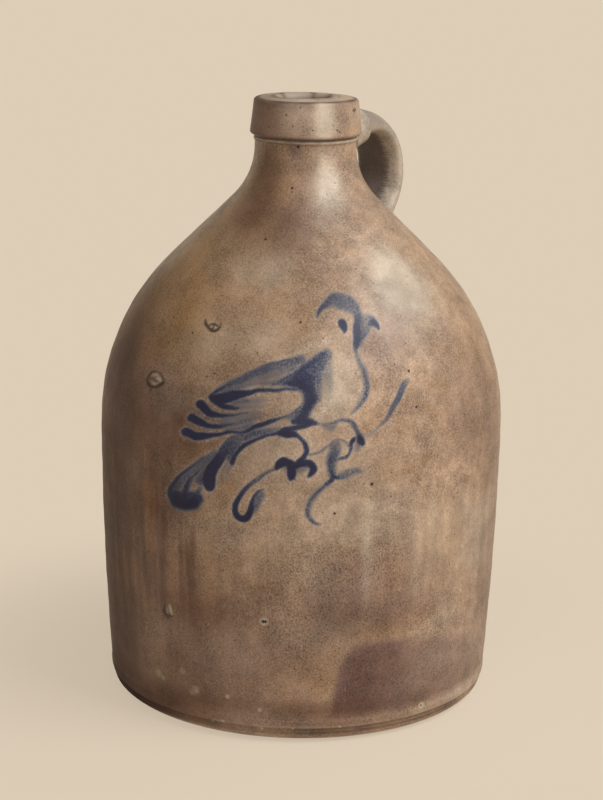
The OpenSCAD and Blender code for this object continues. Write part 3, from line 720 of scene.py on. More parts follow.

# Clouds of colour in the glaze, in millimetres: middle, height, half width, half height,
# and how much. Some smoke clouds are painted shade and some pale clouds painted highlights
CLOUDS = {
    # Smoke, and painted shade down the left side and the far edges, where the jug turns from the
    # key lamp
    "smoke": (
        (-132, 95, 32, 110, 0.8), (-132, 188, 30, 38, 0.6), (-88, 294, 42, 24, 0.6),
        (-44, 274, 44, 14, 0.35), (-80, 28, 52, 18, 0.35), (-58, 74, 26, 11, 0.35),
        (-76, 168, 40, 22, 0.55), (-58, 176, 16, 12, 0.3), (-84, 132, 20, 16, 0.4),
        (-136, 110, 22, 90, 0.3), (-80, 85, 50, 30, 0.15), (-15, 20, 120, 6, 0.3),
        (-4, 302, 20, 9, 0.3), (16, 20, 28, 8, 0.25), (142, 120, 22, 110, 0.3),
        (34, 72, 26, 12, 0.35), (-30, 182, 26, 8, 0.35), (-90, 130, 8, 26, 0.35),
        (-10, 200, 14, 8, 0.2), (96, 8, 14, 6, 0.3), (-76, 10, 30, 8, 0.4),
        (-134, 60, 20, 80, 0.6), (-116, 8, 36, 9, 0.6), (44, 38, 18, 18, 0.35),
        (40, 8, 46, 7, 0.3), (250, 90, 70, 120, 0.5), (-220, 220, 60, 60, 0.35),
    ),
    "plum": (
        (35, 92, 30, 20, 0.3), (22, 62, 22, 20, 0.15), (-14, 276, 26, 17, 0.42),
        (10, 257, 12, 8, 0.25), (52, 221, 24, 11, 0.3), (-26, 44, 52, 20, 0.14),
        (-60, 110, 46, 44, 0.12), (70, 236, 36, 26, 0.14), (20, 74, 34, 18, 0.08),
        (66, 72, 18, 14, 0.4), (16, 300, 16, 10, 0.25), (-20, 313, 22, 4, 0.6),
        (20, 85, 34, 24, 0.2), (-100, 180, 40, 34, 0.4), (-86, 96, 12, 34, 0.5),
        (-104, 118, 5, 26, 0.5), (-94, 88, 4, 30, 0.4), (-112, 96, 4, 34, 0.5),
        (-40, 12, 90, 5, 0.3), (112, 178, 32, 30, 0.35), (-60, 50, 64, 40, 0.35),
        (190, 60, 40, 30, 0.5), (-280, 70, 60, 30, 0.5),
    ),
    "warm": (
        (44, 63, 17, 5, 0.35), (4, 42, 26, 16, 0.28), (-25, 225, 60, 40, 0.25),
        (86, 106, 22, 26, 0.4), (70, 70, 22, 6, 0.35), (56, 98, 10, 14, 0.3),
        (-20, 110, 50, 40, 0.15), (-104, 66, 12, 12, 0.35), (-118, 120, 22, 60, 0.3),
        (-104, 224, 36, 26, 0.9), (-112, 268, 40, 36, 0.3), (-128, 236, 30, 44, 0.6),
        (-60, 288, 50, 24, 0.4), (-66, 250, 50, 30, 0.2), (150, 200, 60, 70, 0.3),
        (-200, 120, 70, 60, 0.4), (300, 230, 60, 40, 0.35),
    ),
    # Pale glaze, with painted highlights on the right shoulder, the neck and the heel band
    "pale": (
        (84, 247, 24, 15, 1.0), (80, 240, 40, 24, 0.4), (46, 296, 28, 15, 0.85),
        (-30, 222, 22, 11, 0.35), (12, 222, 12, 9, 0.1), (-72, 180, 14, 10, 0.4),
        (24, 160, 14, 12, 0.3), (132, 100, 14, 22, 0.3), (37, 104, 3.4, 26, 0.45),
        (22, 205, 10, 18, 0.35), (20, 285, 20, 16, 0.2), (110, 12, 40, 5, 0.3),
        (90, 43, 14, 9, 0.3), (-42, 254, 20, 10, 0.35), (-8, 120, 22, 22, 0.2),
        (30, 130, 30, 16, 0.4), (98, 108, 36, 24, 0.4), (-22, 254, 16, 9, 0.35),
        (-10, 165, 20, 20, 0.3), (12, 190, 12, 14, 0.25), (24, 66, 22, 10, 0.3),
        (-50, 118, 20, 10, 0.15), (91, 66, 9, 8, 0.35), (28, 84, 12, 12, 0.2),
        (10, 100, 10, 12, 0.3), (-30, 160, 9, 9, 0.2), (-40, 50, 20, 10, 0.15),
        (-100, 224, 30, 16, 0.3), (-68, 220, 20, 10, 0.3), (-44, 120, 20, 12, 0.2),
        (8, 200, 30, 16, 0.25), (72, 112, 16, 26, 0.25), (-180, 250, 40, 40, 0.3),
        (230, 190, 40, 40, 0.3),
    ),
    # Where iron speckles crowd
    "speckled": (
        (20, 96, 30, 24, 0.9), (46, 90, 12, 24, 0.7), (-36, 122, 22, 16, 0.5),
        (18, 70, 20, 10, 0.7), (-40, 50, 70, 34, 0.35), (30, 84, 40, 20, 0.45),
        (60, 36, 44, 18, 0.5), (42, 68, 56, 9, 0.6), (8, 58, 22, 8, 0.3), (84, 64, 18, 14, 0.4),
        (44, 40, 26, 18, 0.4), (-70, 150, 40, 30, 0.5), (-112, 110, 30, 90, 0.7),
        (-110, 210, 36, 30, 0.7), (-70, 240, 40, 24, 0.3), (200, 150, 90, 90, 0.3),
    ),
}

# Flashes with an edge: how much they hold, and their outline in millimetres
PLUM_FLASH = {
    "low right": (0.9, (
        (20, 16), (21, 30), (23, 42), (27, 50), (32, 55.5), (38, 58), (50, 58.4), (60, 57),
        (72, 55), (88, 53), (104, 50), (120, 44), (134, 34), (134, 20), (110, 15), (60, 15),
    )),
}

WARM_FLASH = {
    "over the plum": (0.22, (
        (12, 60), (22, 65), (34, 70), (50, 69.5), (62, 66), (68, 60), (58, 58), (38, 59), (30, 56),
        (25, 48), (21, 38), (18, 28), (8, 28), (4, 40), (8, 52),
    )),
}


def clouded(u, z, clouds):
    """Sum of soft clouds, each its amount times e to the minus the cube of the distance
    in its own half width and half height."""
    total = np.zeros(u.shape)
    around = 2 * math.pi * PAINT_RADIUS / MM
    for middle, height, wide, tall, amount in clouds:
        aside = (u - middle + around / 2) % around - around / 2
        total += amount * bell(np.hypot(aside / wide, (z - height) / tall), 1, 3)
    return np.clip(total, 0, 1)


def scarred(u, z):
    """How far kiln marks stand out: a smooth mound, and a ring where its edge is."""
    out = np.zeros(u.shape)
    for middle, height, wide, tall, rise, ring in SCARS:
        away = np.hypot((u - middle) / wide, (z - height) / tall)
        out += rise * np.exp(-1.2 * away**3) + ring * bell(away - 1, 0.28)
    return out * MM


# Meshes


def linked(name, data):
    """An object that shows this data, in the scene."""
    thing = bpy.data.objects.new(name, data)
    bpy.context.scene.collection.objects.link(thing)
    return thing


def make_piece(name, vertices, faces, node):
    """A mesh object at the origin, smooth, riding on the jug and standing for a CAD
    node."""
    mesh = bpy.data.meshes.new(name)
    mesh.from_pydata(vertices.tolist(), [], faces)
    mesh.shade_smooth()
    piece = linked(name, mesh)
    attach(piece, "root")
    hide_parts(node)
    return piece


def ringed(radius, height, turn):
    """Points of rings round the axis: the radius times the angle's cosine and sine, and
    the height."""
    height = np.broadcast_to(height, radius.shape)
    points = np.stack([radius * np.cos(turn), radius * np.sin(turn), height], -1)
    return points.reshape(-1, 3)


def turned_faces(rows, columns, joined=False):
    """Faces of rings of points closed round an axis: quads between neighbouring rings.
    The last ring is joined to the first, or else a fan of triangles closes each end
    round a pole, and the two poles are the points that follow the rings."""
    row, column = np.mgrid[: rows if joined else rows - 1, :columns]
    above, beside = (row + 1) % rows, (column + 1) % columns
    corners = (row, column), (row, beside), (above, beside), (above, column)
    quads = np.stack([a * columns + b for a, b in corners], -1).reshape(-1, 4).tolist()
    if joined:
        return quads
    around = np.arange(columns)
    ahead = (around + 1) % columns
    last = (rows - 1) * columns
    pole = np.full(columns, rows * columns)
    first_fan = np.stack([pole, ahead, around], -1)
    last_fan = np.stack([last + around, last + ahead, pole + 1], -1)
    return quads + first_fan.tolist() + last_fan.tolist()


def keep_values(piece, shape, **values):
    """Writes each grid of numbers, held from 0 to 1, into the piece's mesh as an
    attribute by that name, with 0 at its poles."""
    for name, numbers in values.items():
        held = np.zeros(len(piece.data.vertices), np.float32)
        held[: math.prod(shape)] = np.ravel(np.broadcast_to(np.clip(numbers, 0, 1), shape))
        attribute = piece.data.attributes.new(name, "FLOAT", "POINT")
        attribute.data.foreach_set("value", held)


def face_side(turn):
    """Millimetres to the right of the painted face's middle, from -360 to 360."""
    turn = (turn - FACE_ANGLE + math.pi) % (2 * math.pi) - math.pi
    return turn * PAINT_RADIUS / MM


def polar(radius, turn, height):
    """The point at a radius, an angle from the painted face's middle, and a height."""
    turn += FACE_ANGLE
    return Vector((radius * math.cos(turn), radius * math.sin(turn), height))


# Materials


def add(tree, kind, inputs=(), **settings):
    """Adds one node with its settings. Its inputs are given in order, or by name or
    number: each is a value, or what feeds it, a socket or a node's first live output."""
    node = tree.nodes.new("ShaderNode" + kind)
    for name, value in settings.items():
        setattr(node, name, value)
    for name, value in inputs.items() if isinstance(inputs, dict) else enumerate(inputs):
        if isinstance(value, bpy.types.Node):
            value = next(socket for socket in value.outputs if socket.enabled)
        if isinstance(value, bpy.types.NodeSocket):
            tree.links.new(value, node.inputs[name])
        elif node.inputs[name].type == "RGBA":
            node.inputs[name].default_value = (*value, 1)
        else:
            node.inputs[name].default_value = value
    return node


def new_material(name):
    """A material with no nodes yet, and its tree."""
    material = bpy.data.materials.new(name)
    material.use_nodes = True
    material.node_tree.nodes.clear()
    return material, material.node_tree


def times(shade, factor):
    return [min(1, part * factor) for part in shade]


def painted_coats(tree, c, grain):
    """The salted clay round the brushwork, and the cobalt, as coats for salt_glaze."""
    halo, left = (
        add(tree, "Attribute", attribute_name=name).outputs["Fac"] for name in ("halo", "cobalt")
    )
    salted = add(tree, "MapRange", (grain, 0.44, 0.58, 0.25, 1.3))
    salted = add(tree, "Math", (halo, salted), operation="MULTIPLY", use_clamp=True)
    # The brush skips over the peel where it left little: density times 1.1 minus
    # itself, times the grain, is added to it
    spare = add(tree, "Math", (1.1, left), operation="SUBTRACT")
    spare = add(tree, "Math", (left, spare), operation="MULTIPLY")
    skip = add(tree, "Math", (grain, 9.5, -4.7), operation="MULTIPLY_ADD")
    left = add(tree, "Math", (spare, skip, left), operation="MULTIPLY_ADD", use_clamp=True)
    paint = c.cobalt_thin
    for start, end, shade in ((0.36, 0.68, c.cobalt), (0.7, 0.93, c.cobalt_thick)):
        share = add(tree, "MapRange", (left, start, end, 0, 1))
        paint = add(tree, "Mix", {0: share, 6: paint, 7: shade}, data_type="RGBA")
    covers = add(tree, "MapRange", (left, 0.1, 0.44, 0, 0.96))
    return [(salted, c.glaze_pale), (covers, paint)]


def salt_glaze(name, glaze, spots=(), clouds=True, cobalt=False, smoke=None, stipple=1.0):
    """Stoneware, thrown and salt-glazed: the salt vapour leaves a thin clear glass with
    an orange-peel skin over tan clay, mottled, freckled with iron and flashed brown
    and plum by the flame. Under it the cobalt bleeds softly into the clay. Light and
    shade are painted in as well: highlights in the pale and bare coats, and shade in
    the smoke, plum, scar and groove coats. It is made of coats, each a share and a
    shade, laid one over the other."""
    c = bpy.context.scene.jug_colours
    material, tree = new_material(name)
    place = add(tree, "TexCoord").outputs["Object"]

    # Mottling about 60, 22 and 8 mm across, and grain of about 1 mm, coarser than the
    # real one so that it shows
    broad, patchy, blotch, grain = (
        add(tree, "TexNoise", {"Vector": place, "Scale": a, "Detail": b, "Roughness": r})
        for a, b, r in ((17, 3, 0.5), (45, 4, 0.6), (125, 5, 0.68), (1000, 5, 0.88))
    )
    # Orange peel about 2 mm across
    peel = add(tree, "TexVoronoi", {"Vector": place, "Scale": 480, "Smoothness": 1},
               feature="SMOOTH_F1")
    tone = add(tree, "MapRange", (blotch, 0.34, 0.66, 0, 1))
    wide_tone = add(tree, "MapRange", (broad, 0.35, 0.68, 0, 0.45))
    coats = [(tone, times(glaze, 1.22)), (wide_tone, times(glaze, 0.66))]

    # Ochre and grey-plum patches about 12 mm across
    hues = add(tree, "TexNoise", {"Vector": place, "Scale": 80, "Detail": 5, "Roughness": 0.68})
    hues = add(tree, "SeparateColor", (hues.outputs["Color"],)).outputs
    for hue, shade, most in ((hues[0], c.glaze_warm, 0.4), (hues[1], c.glaze_plum, 0.15)):
        coats.append((add(tree, "MapRange", (hue, 0.5, 0.68, 0, most)), shade))

    marks = {}
    if clouds:
        marks = {
            kind: add(tree, "Attribute", attribute_name=kind).outputs["Fac"]
            for kind in (*CLOUDS, "runs", "bare", "scar", "groove")
        }
        # The clouds' edges are torn by the blotches
        torn = add(tree, "Math", (blotch, 1.36, 0.52), operation="MULTIPLY_ADD")
        # Pale coats lay painted highlights, and smoke and plum coats painted shade, besides the
        # glaze's own colour
        for kind, shade, strength in (
            ("pale", c.glaze_pale, 0.85),
            ("warm", c.glaze_warm, 0.75),
            ("plum", c.glaze_plum, 0.85),
            ("smoke", smoke or c.glaze_smoke, 0.95),
        ):
            share = add(tree, "Math", (marks[kind], torn), operation="MULTIPLY")
            share = add(tree, "Math", (share, strength), operation="MULTIPLY", use_clamp=True)
            coats.append((share, shade))
        # Runs of darker glaze about 8 mm wide, low on the wall, and rusty runs between
        long_way = add(tree, "Mapping", {"Vector": place, "Scale": (1, 1, 0.1)})
        runs = add(tree, "TexNoise", {"Vector": long_way, "Scale": 120, "Detail": 4})
        for start, end, most, shade in (
            (0.44, 0.64, 0.75, c.glaze_smoke),
            (0.5, 0.36, 0.33, c.glaze_warm),
        ):
            share = add(tree, "MapRange", (runs, start, end, 0, most))
            coats.append((add(tree, "Math", (share, marks["runs"]), operation="MULTIPLY"), shade))

    if cobalt:
        coats += painted_coats(tree, c, grain)

    # Fine freckling, stronger in patches, over soft light and dark patches
    freckle = add(tree, "MapRange", (grain, 0.4, 0.6, 0, 1))
    freckle = add(tree, "Mix", {0: freckle, 6: (0.6, 0.51, 0.44), 7: (1.32, 1.4, 1.5)},
                  data_type="RGBA")
    amount = add(tree, "MapRange", (patchy, 0.36, 0.62, stipple, 0.55 * stipple))
    rough = add(tree, "MapRange", (blotch, 0.3, 0.7, 0.46, 0.33))
    if clouds:
        # Iron speckles crowd where the flame struck, and freckling fades under thick salt and
        # painted highlights
        speck = add(tree, "MapRange", (grain, 0.47, 0.38, 0, 0.7))
        speck = add(tree, "Math", (speck, marks["speckled"]), operation="MULTIPLY")
        coats.append((speck, c.fleck))
        smooth = add(tree, "Math", (marks["pale"], -0.75, 1), operation="MULTIPLY_ADD",
                     use_clamp=True)
        amount = add(tree, "Math", (amount, smooth), operation="MULTIPLY")
        # Where the groove coat lays soot, tooled lines and painted shade, the glaze is duller
        rough = add(tree, "Math", (marks["groove"], 0.4, rough), operation="MULTIPLY_ADD")
    coats.append((amount, freckle, "MULTIPLY"))
    coats.append((1, add(tree, "MapRange", (patchy, 0.36, 0.64, 0.78, 1.14)), "MULTIPLY"))

    # Iron flecks about half a millimetre across and 4 mm apart, of which a third show
    fleck = add(tree, "TexVoronoi", {"Vector": place, "Scale": 290})
    near = add(tree, "MapRange", (fleck, 0.06, 0.19, 0.9, 0))
    chosen = add(tree, "SeparateColor", (fleck.outputs["Color"],))
    chosen = add(tree, "MapRange", (chosen, 0.68, 1, 0, 1))
    coats.append((add(tree, "Math", (near, chosen), operation="MULTIPLY"), c.fleck))

    if clouds:
        # Bare clay and painted highlights; dark outlines of marks, heavier where painted shade
        # falls under them; and tooled lines, soot and painted shade in creases and joints
        for kind, shade, strength in (
            ("bare", c.bare, 0.9),
            ("scar", c.fleck, 0.9),
            ("groove", c.fleck, 0.8),
        ):
            share = add(tree, "Math", (marks[kind], strength), operation="MULTIPLY")
            coats.append((share, shade))

    # Single pits and chips, each a small disc round a point of the surface
    for shade, sign in ((c.bare, -1), (c.fleck, 1)):
        mask = 0
        for point, radius, held in spots:
            if held * sign > 0:
                away = add(tree, "VectorMath", (place, point), operation="DISTANCE")
                disc = (away, radius * 0.5, radius * 1.3, held * sign, 0)
                mask = add(tree, "Math", (mask, add(tree, "MapRange", disc)), operation="MAXIMUM")
        coats.append((mask, shade))

    base = times(glaze, 0.7)
    for share, shade, *blend in coats:
        base = add(tree, "Mix", {0: share, 6: base, 7: shade}, data_type="RGBA",
                   blend_type=blend[0] if blend else "MIX")
    height = add(tree, "Math", (peel, 0.8, grain), operation="MULTIPLY_ADD")
    bump = add(tree, "Bump", {"Height": height, "Strength": 0.55, "Distance": 0.00012})
    # A thin, weathered salt skin gives back a little less light than full glass
    shader = add(tree, "BsdfPrincipled", {"Base Color": base, "Roughness": rough, "Normal": bump,
                                          "IOR": 1.47, "Specular IOR Level": 0.28})
    add(tree, "OutputMaterial", (shader,))
    return material


def slip_glaze(name):
    """Brown slip, poured in and out and fired: a thin clay glaze, glossier than the salt,
    darker where it ran thick."""
    c = bpy.context.scene.jug_colours
    material, tree = new_material(name)
    place = add(tree, "TexCoord").outputs["Object"]
    # Runs about 6 mm wide and peel about 1.5 mm across
    long_way = add(tree, "Mapping", {"Vector": place, "Scale": (1, 1, 0.15)})
    runs = add(tree, "TexNoise", {"Vector": long_way, "Scale": 160, "Detail": 3})
    peel = add(tree, "TexNoise", {"Vector": place, "Scale": 650, "Detail": 2})
    base = add(tree, "Mix", {0: runs, 6: times(c.slip, 0.5), 7: times(c.slip, 1.7)},
               data_type="RGBA")
    rough = add(tree, "MapRange", (peel, 0.3, 0.7, 0.22, 0.36))
    bump = add(tree, "Bump", {"Height": peel, "Strength": 0.4, "Distance": 0.0001})
    shader = add(tree, "BsdfPrincipled", {"Base Color": base, "Roughness": rough, "Normal": bump})
    add(tree, "OutputMaterial", (shader,))
    return material


# Spots: millimetres beside the face's middle, height, radius, and how dark, from 0 to 1,
# or how pale, from 0 to -1
BODY_SPOTS = (
    (65, 205, 0.9, 1), (66.5, 186.5, 0.8, 1), (38.5, 148, 1.0, 1), (18.5, 133, 0.8, 1),
    (-1.5, 231, 0.7, 1), (-56, 201.5, 0.7, 0.6), (-51.5, 203.5, 0.6, 0.6), (-24, 293, 0.8, 1),
    (-23, 291, 0.6, 0.8), (-16, 315, 1.0, 1), (-43, 268, 0.8, 1), (-74, 221.3, 0.7, 0.8),
    (-18.6, 71.4, 2.4, -0.65), (-19, 71.3, 1.1, 1), (-17.8, 71.3, 1.0, 1), (78, 14, 2.0, -0.7),
    (78, 14, 0.9, 0.7), (25, 9.5, 1.0, -0.6), (-2, 9, 0.9, -0.6), (-20, 8, 0.9, -0.5),
    (105, 12, 0.9, -0.5), (-60.5, 25, 2.6, -0.25), (-60, 24.6, 1.4, -0.4), (-62.6, 23.2, 2, -0.2),
    (-69, 34.6, 2.2, -0.2), (-88, 28.2, 2.8, -0.22), (-87.6, 28.8, 1.2, -0.35),
    (-84.6, 26.4, 1.6, -0.3), (-40, 24.9, 1.4, -0.5), (-21, 19.3, 1.3, -0.4),
    (-43, 9.6, 1.1, -0.5), (-46, 9, 0.8, -0.4), (-50, 8.4, 0.7, -0.3),
)

# How far apart the body's rings lie, in millimetres: height, and the spacing there. They
# lie close where the body is painted or tooled. The points of a ring lie close over the
# painted side, from its left to its right, and some degrees apart over the rest
OUTSIDE_SPACING = (
    (0, 0.6), (14, 0.6), (16, 4), (57, 4), (61, 1.5), (80, 1.5), (84, 4), (118, 4),
    (125, 0.78), (245, 0.78), (252, 3), (300, 3), (311, 1.5), (313, 0.5), (319, 0.45),
)
INSIDE_SPACING = ((0, 12), (250, 8), (320, 3))
PAINTED_SIDE = (-104, 68)
PAINTED_SPACING = 0.8
FAR_DEGREES = 4
COLLAR_SPACING = 0.45
COLLAR_DEGREES = 1.5


# The pieces, and the stage that they stand on


class JUG_OT_body(bpy.types.Operator):
    """Throw the body, with its foot, shoulder and neck, and paint the bird on it"""

    bl_idname = "jug.body"
    bl_label = "Thrown body"

    def execute(self, context):
        s = context.scene.jug_sizes
        profile = body_outside(s)
        outside = spread(profile, *np.array(OUTSIDE_SPACING).T * MM)
        inside = spread(cavity(s)[1:], *np.array(INSIDE_SPACING).T * MM)[::-1]
        under = np.column_stack([np.linspace(0, s.foot_radius, 6)[1:-1], np.zeros(4)])
        path = np.vstack([under, outside, inside])
        is_out = np.arange(len(path)) < len(under) + len(outside)
        left, right = (FACE_ANGLE + side * MM / PAINT_RADIUS for side in PAINTED_SIDE)
        turn = spread_angles(left, right, PAINTED_SPACING * MM / PAINT_RADIUS,
                             math.radians(FAR_DEGREES))
        u, z = np.broadcast_arrays(face_side(turn), path[:, 1:] / MM)
        shown = is_out[:, None] & (z > 0.2)
        # Throwing rings: two slow waves up the wall that climb a little round the pot
        rings = 0.06 * np.sin(z / 2.3 + u / 115) + 0.08 * np.sin(z / 6.1 - u / 57)
        on_wall = np.clip((z - 16) / 10, 0, 1) * np.clip((300 - z) / 20, 0, 1)
        radius = path[:, :1] + shown * (rings * on_wall * MM + scarred(u, z))
        poles = [[0, 0, 0], [0, 0, s.floor]]
        points = np.vstack([ringed(radius, path[:, 1:], turn), poles])
        piece = make_piece("glazed_body", points, turned_faces(*u.shape), "thrown_body")

        # The tool pressed unevenly
        press = 0.7 + 0.3 * np.sin(u / 17 + 1) * np.sin(u / 7.3)
        seat = levels(s)[0] / MM
        lower, upper = (s.tool_line + s.tool_width * np.array([0.5, 1.5])) / MM
        # Painted shade in the heel's two tooled lines and over them, in a line under the bead on
        # the lit side, and in a faint line above the heel
        tooled = (
            0.35 * (bell(z - lower) + bell(z - upper) + bell(z - 6.6, 2.4))
            + 0.7 * bell(z - seat + 2.7, 0.45) * eased((20 - u) / 50)
            + 0.3 * bell(z - 20.5, 2.5)
        )
        # Soot, with painted shade, lies on the side away from the warm flame and the key lamp: low
        # at the left and down the far left
        soot = (
            0.9 * bell(z - 3, 8) * eased((-64 - u) / 56)
            + 0.32 * eased((-112 - u) / 16) * eased((u + 230) / 60)
            * eased((z - 165) / 25) * eased((262 - z) / 34)
            + 0.48 * eased((-106 - u) / 26) * eased((u + 260) / 60) * eased((190 - z) / 40)
        )
        # Painted shade also darkens the joint under the collar's seat and the very bottom edge
        groove = press * tooled + 0.95 * bell(z - seat + 0.1, 0.6) + 0.5 * bell(z, 0.8) + soot
        # Painted highlights along the bead's top and the heel band's top edge
        worn = 1.1 * bell(z - seat + 1.45, 0.55) + 0.3 * (u > -50) * bell(z - 9.8, 0.8)
        clouds = {kind: clouded(u, z, held) for kind, held in CLOUDS.items()}
        clouds["plum"] += filled(u, z, PLUM_FLASH, 6) * np.interp(u, [48, 84, 130], [1, 0.6, 0.4])
        clouds["warm"] += filled(u, z, WARM_FLASH, 8)
        values = {
            "cobalt": painted(u, z),
            "halo": np.maximum(brushed(u, z, HALOS, 4), 0.5 * brushed(u, z, STROKES, 5, 1.5)),
            "scar": 1.35 * brushed(u, z, SCAR_LINES, 0.9, 0.7),
            "bare": 1.25 * brushed(u, z, BARE_SPOTS, 1.1, 0.3) + press * worn,
            "groove": groove,
            "runs": bell(z - 105, 55) * (0.4 + 1.1 * eased((-30 - u) / 40)) / 1.5,
            **clouds,
        }
        keep_values(piece, u.shape, **{name: shown * held for name, held in values.items()})
        spots = []
        for side, height, size, held in BODY_SPOTS:
            at = np.interp(height * MM, profile[:, 1], profile[:, 0])
            spots.append((polar(at, side * MM / PAINT_RADIUS, height * MM), size * MM, held))
        glaze = context.scene.jug_colours.glaze
        piece.data.materials.append(salt_glaze("salt_glazed_stoneware", glaze, spots, cobalt=True))
        return {"FINISHED"}


def collar_outline(s):
    """The collar's section, once round: seat, rounded lower edge, face that draws in,
    rounded rim, fall to the mouth's rounding, bore and cone to the throat."""
    seat = levels(s)[0]
    groove = s.neck_radius - s.groove_depth
    rim = s.collar_radius - s.collar_draw_in
    e, r, m = s.collar_edge, s.rim_round, s.mouth_round
    return np.vstack([
        [[groove, seat]],
        arc((s.collar_radius - e, seat + e), e, -90, 0, 12),
        arc((rim - r, s.height - s.rim_fall - r), r, 0, 78, 14),
        arc((s.bore_radius + m, s.height - m), m, 90, 180, 14),
        [[s.bore_radius, seat + s.bore_flare]],
        [[s.neck_radius - s.neck_wall, seat]],
        [[groove, seat]],
    ])


# Specks on the collar: degrees round from the face's middle, radius from the axis,
# height above the seat, radius, and how dark
COLLAR_SPOTS = (
    (60, 29.8, 15, 0.75, 1), (66, 29.8, 15, 0.75, 1), (63, 29.8, 15.7, 0.7, 1),
    (63, 29.9, 14.3, 0.7, 1), (-21, 30.6, 13.4, 0.9, 0.9), (-19, 30.6, 13.0, 0.6, 0.7),
    (26.5, 30.4, 14.6, 0.6, 0.9), (35, 30.6, 12, 0.8, 0.7), (33, 30.6, 12.6, 0.5, 0.6),
    (33.5, 31, 5.2, 0.6, 0.9), (36, 31, 4.3, 0.6, 0.9), (38, 31, 3.6, 0.5, 0.8),
    (7, 31, 5.5, 0.5, 0.8), (-25, 30.6, 8, 0.6, 0.5), (-8, 31, 9, 0.5, 0.5),
    (-41, 31, 6, 0.7, 0.5), (-123, 17.2, 20.9, 1.4, 0.9), (-130, 17.2, 20.9, 1.1, 0.8),
    (170, 17.2, 20.9, 1.4, 1), (164, 17.2, 20.8, 1, 0.8), (124, 17, 20.9, 1.2, 0.9),
)


class JUG_OT_collar(bpy.types.Operator):
    """Tool the thick collar round the mouth, with its soft rim"""

    bl_idname = "jug.collar"
    bl_label = "Mouth collar"

    def execute(self, context):
        s = context.scene.jug_sizes
        path = spread(collar_outline(s), [0, 1], [COLLAR_SPACING * MM] * 2)[:-1]
        turn = np.radians(np.arange(0, 360, COLLAR_DEGREES))
        u, z = np.broadcast_arrays(face_side(turn), path[:, 1:] / MM)
        around = u / 360 * math.pi
        # Soft unevenness of a collar shaped by a hand tool
        uneven = 0.16 * np.sin(2 * around + 1) + 0.1 * np.sin(3 * around + z / 5) - 0.12
        on_face = np.clip(path[:, :1] / MM / 2 - 13, 0, 1)
        radius = path[:, :1] + on_face * uneven * MM
        rise = 0.12 * np.sin(around * 2 + 0.6) - 0.12
        top = np.clip((z - s.height / MM + 6) / 6, 0, 1)
        points = ringed(radius, z * MM + top * rise * MM, turn)
        piece = make_piece("tooled_collar", points, turned_faces(*u.shape, joined=True),
                           "mouth_collar")

        seat = levels(s)[0] / MM
        side = np.degrees(u * MM / PAINT_RADIUS)
        r = path[:, :1] / MM
        near_top = np.clip((z - seat - 15) / 3, 0, 1)
        # Inside the bore, tinted as painted shade
        hole = near_top * eased((18 - r) / 1.2)
        # The painted shade line under the rim is broken in places
        worn = near_top * (0.66 + 0.34 * np.sin(side / 7 + 2) * np.sin(side / 17 + 1))
        shaded = worn * bell(r - 27.6, 1.3)
        # Painted shade at the bore's far edge, and darker ends of the mouth's far wall
        far_lip = near_top * bell(r - 17.6, 0.7) * (np.abs(side) > 105)
        dark_ends = 0.6 * (bell(side + 120, 9) + bell(side - 121, 9) + bell(side - 164, 7))
        # Pale paints the highlight down the face and the lit right side; smoke paints smoke and
        # shade at the left end and shade in the seat's joint; plum, scar and groove paint the shade
        # line under the rim and the shade in the mouth; bare lays a pale band on the rim's top and
        # greys the mouth
        keep_values(
            piece,
            u.shape,
            pale=1.05 * bell(side - 20, 11) * (1 - near_top * eased((28.8 - r) / 0.8))
            + 0.28 * bell(side + 12, 26) + 0.3 * bell(side - 64, 18),
            warm=0.3 * bell(side - 66, 20) + 0.15 * bell(z - seat - 4, 3.5),
            plum=0.46 * bell(side + 40, 26) + 0.12 * bell(side - 42, 8) + 0.8 * shaded + 0.5 * hole,
            smoke=0.9 * bell(side + 82, 30) + 0.3 * shaded + 0.5 * bell(z - seat, 1.5),
            runs=0,
            speckled=0.1,
            scar=0.7 * far_lip
            + 0.45 * (near_top * bell(r - 18.4, 0.8) + worn * bell(r - 28.6, 0.8)),
            bare=0.25 * near_top * bell(r - 22.6, 3, 4) + 0.5 * hole,
            groove=0.7 * shaded + hole * dark_ends,
        )
        spots = [
            (polar(away * MM, math.radians(aside), (seat + up) * MM), size * MM, held)
            for aside, away, up, size, held in COLLAR_SPOTS
        ]
        glaze = context.scene.jug_colours.collar
        piece.data.materials.append(salt_glaze("salt_glazed_collar", glaze, spots, stipple=0.7))
        return {"FINISHED"}


# The strap of the handle. Its rings have points at these angles round its middle line
STRAP_TURN = np.linspace(0, 2 * math.pi, 84, endpoint=False)


def cubic(points, t):
    """Places and headings along a cubic curve pulled by its two middle points."""
    a, b, c, d = np.array(points)
    t = t[:, None]
    k = 1 - t
    place = k**3 * a + 3 * k**2 * t * b + 3 * k * t**2 * c + t**3 * d
    heading = k**2 * (b - a) + 2 * k * t * (c - b) + t**2 * (d - c)
    return place, heading / np.hypot(*heading.T)[:, None]


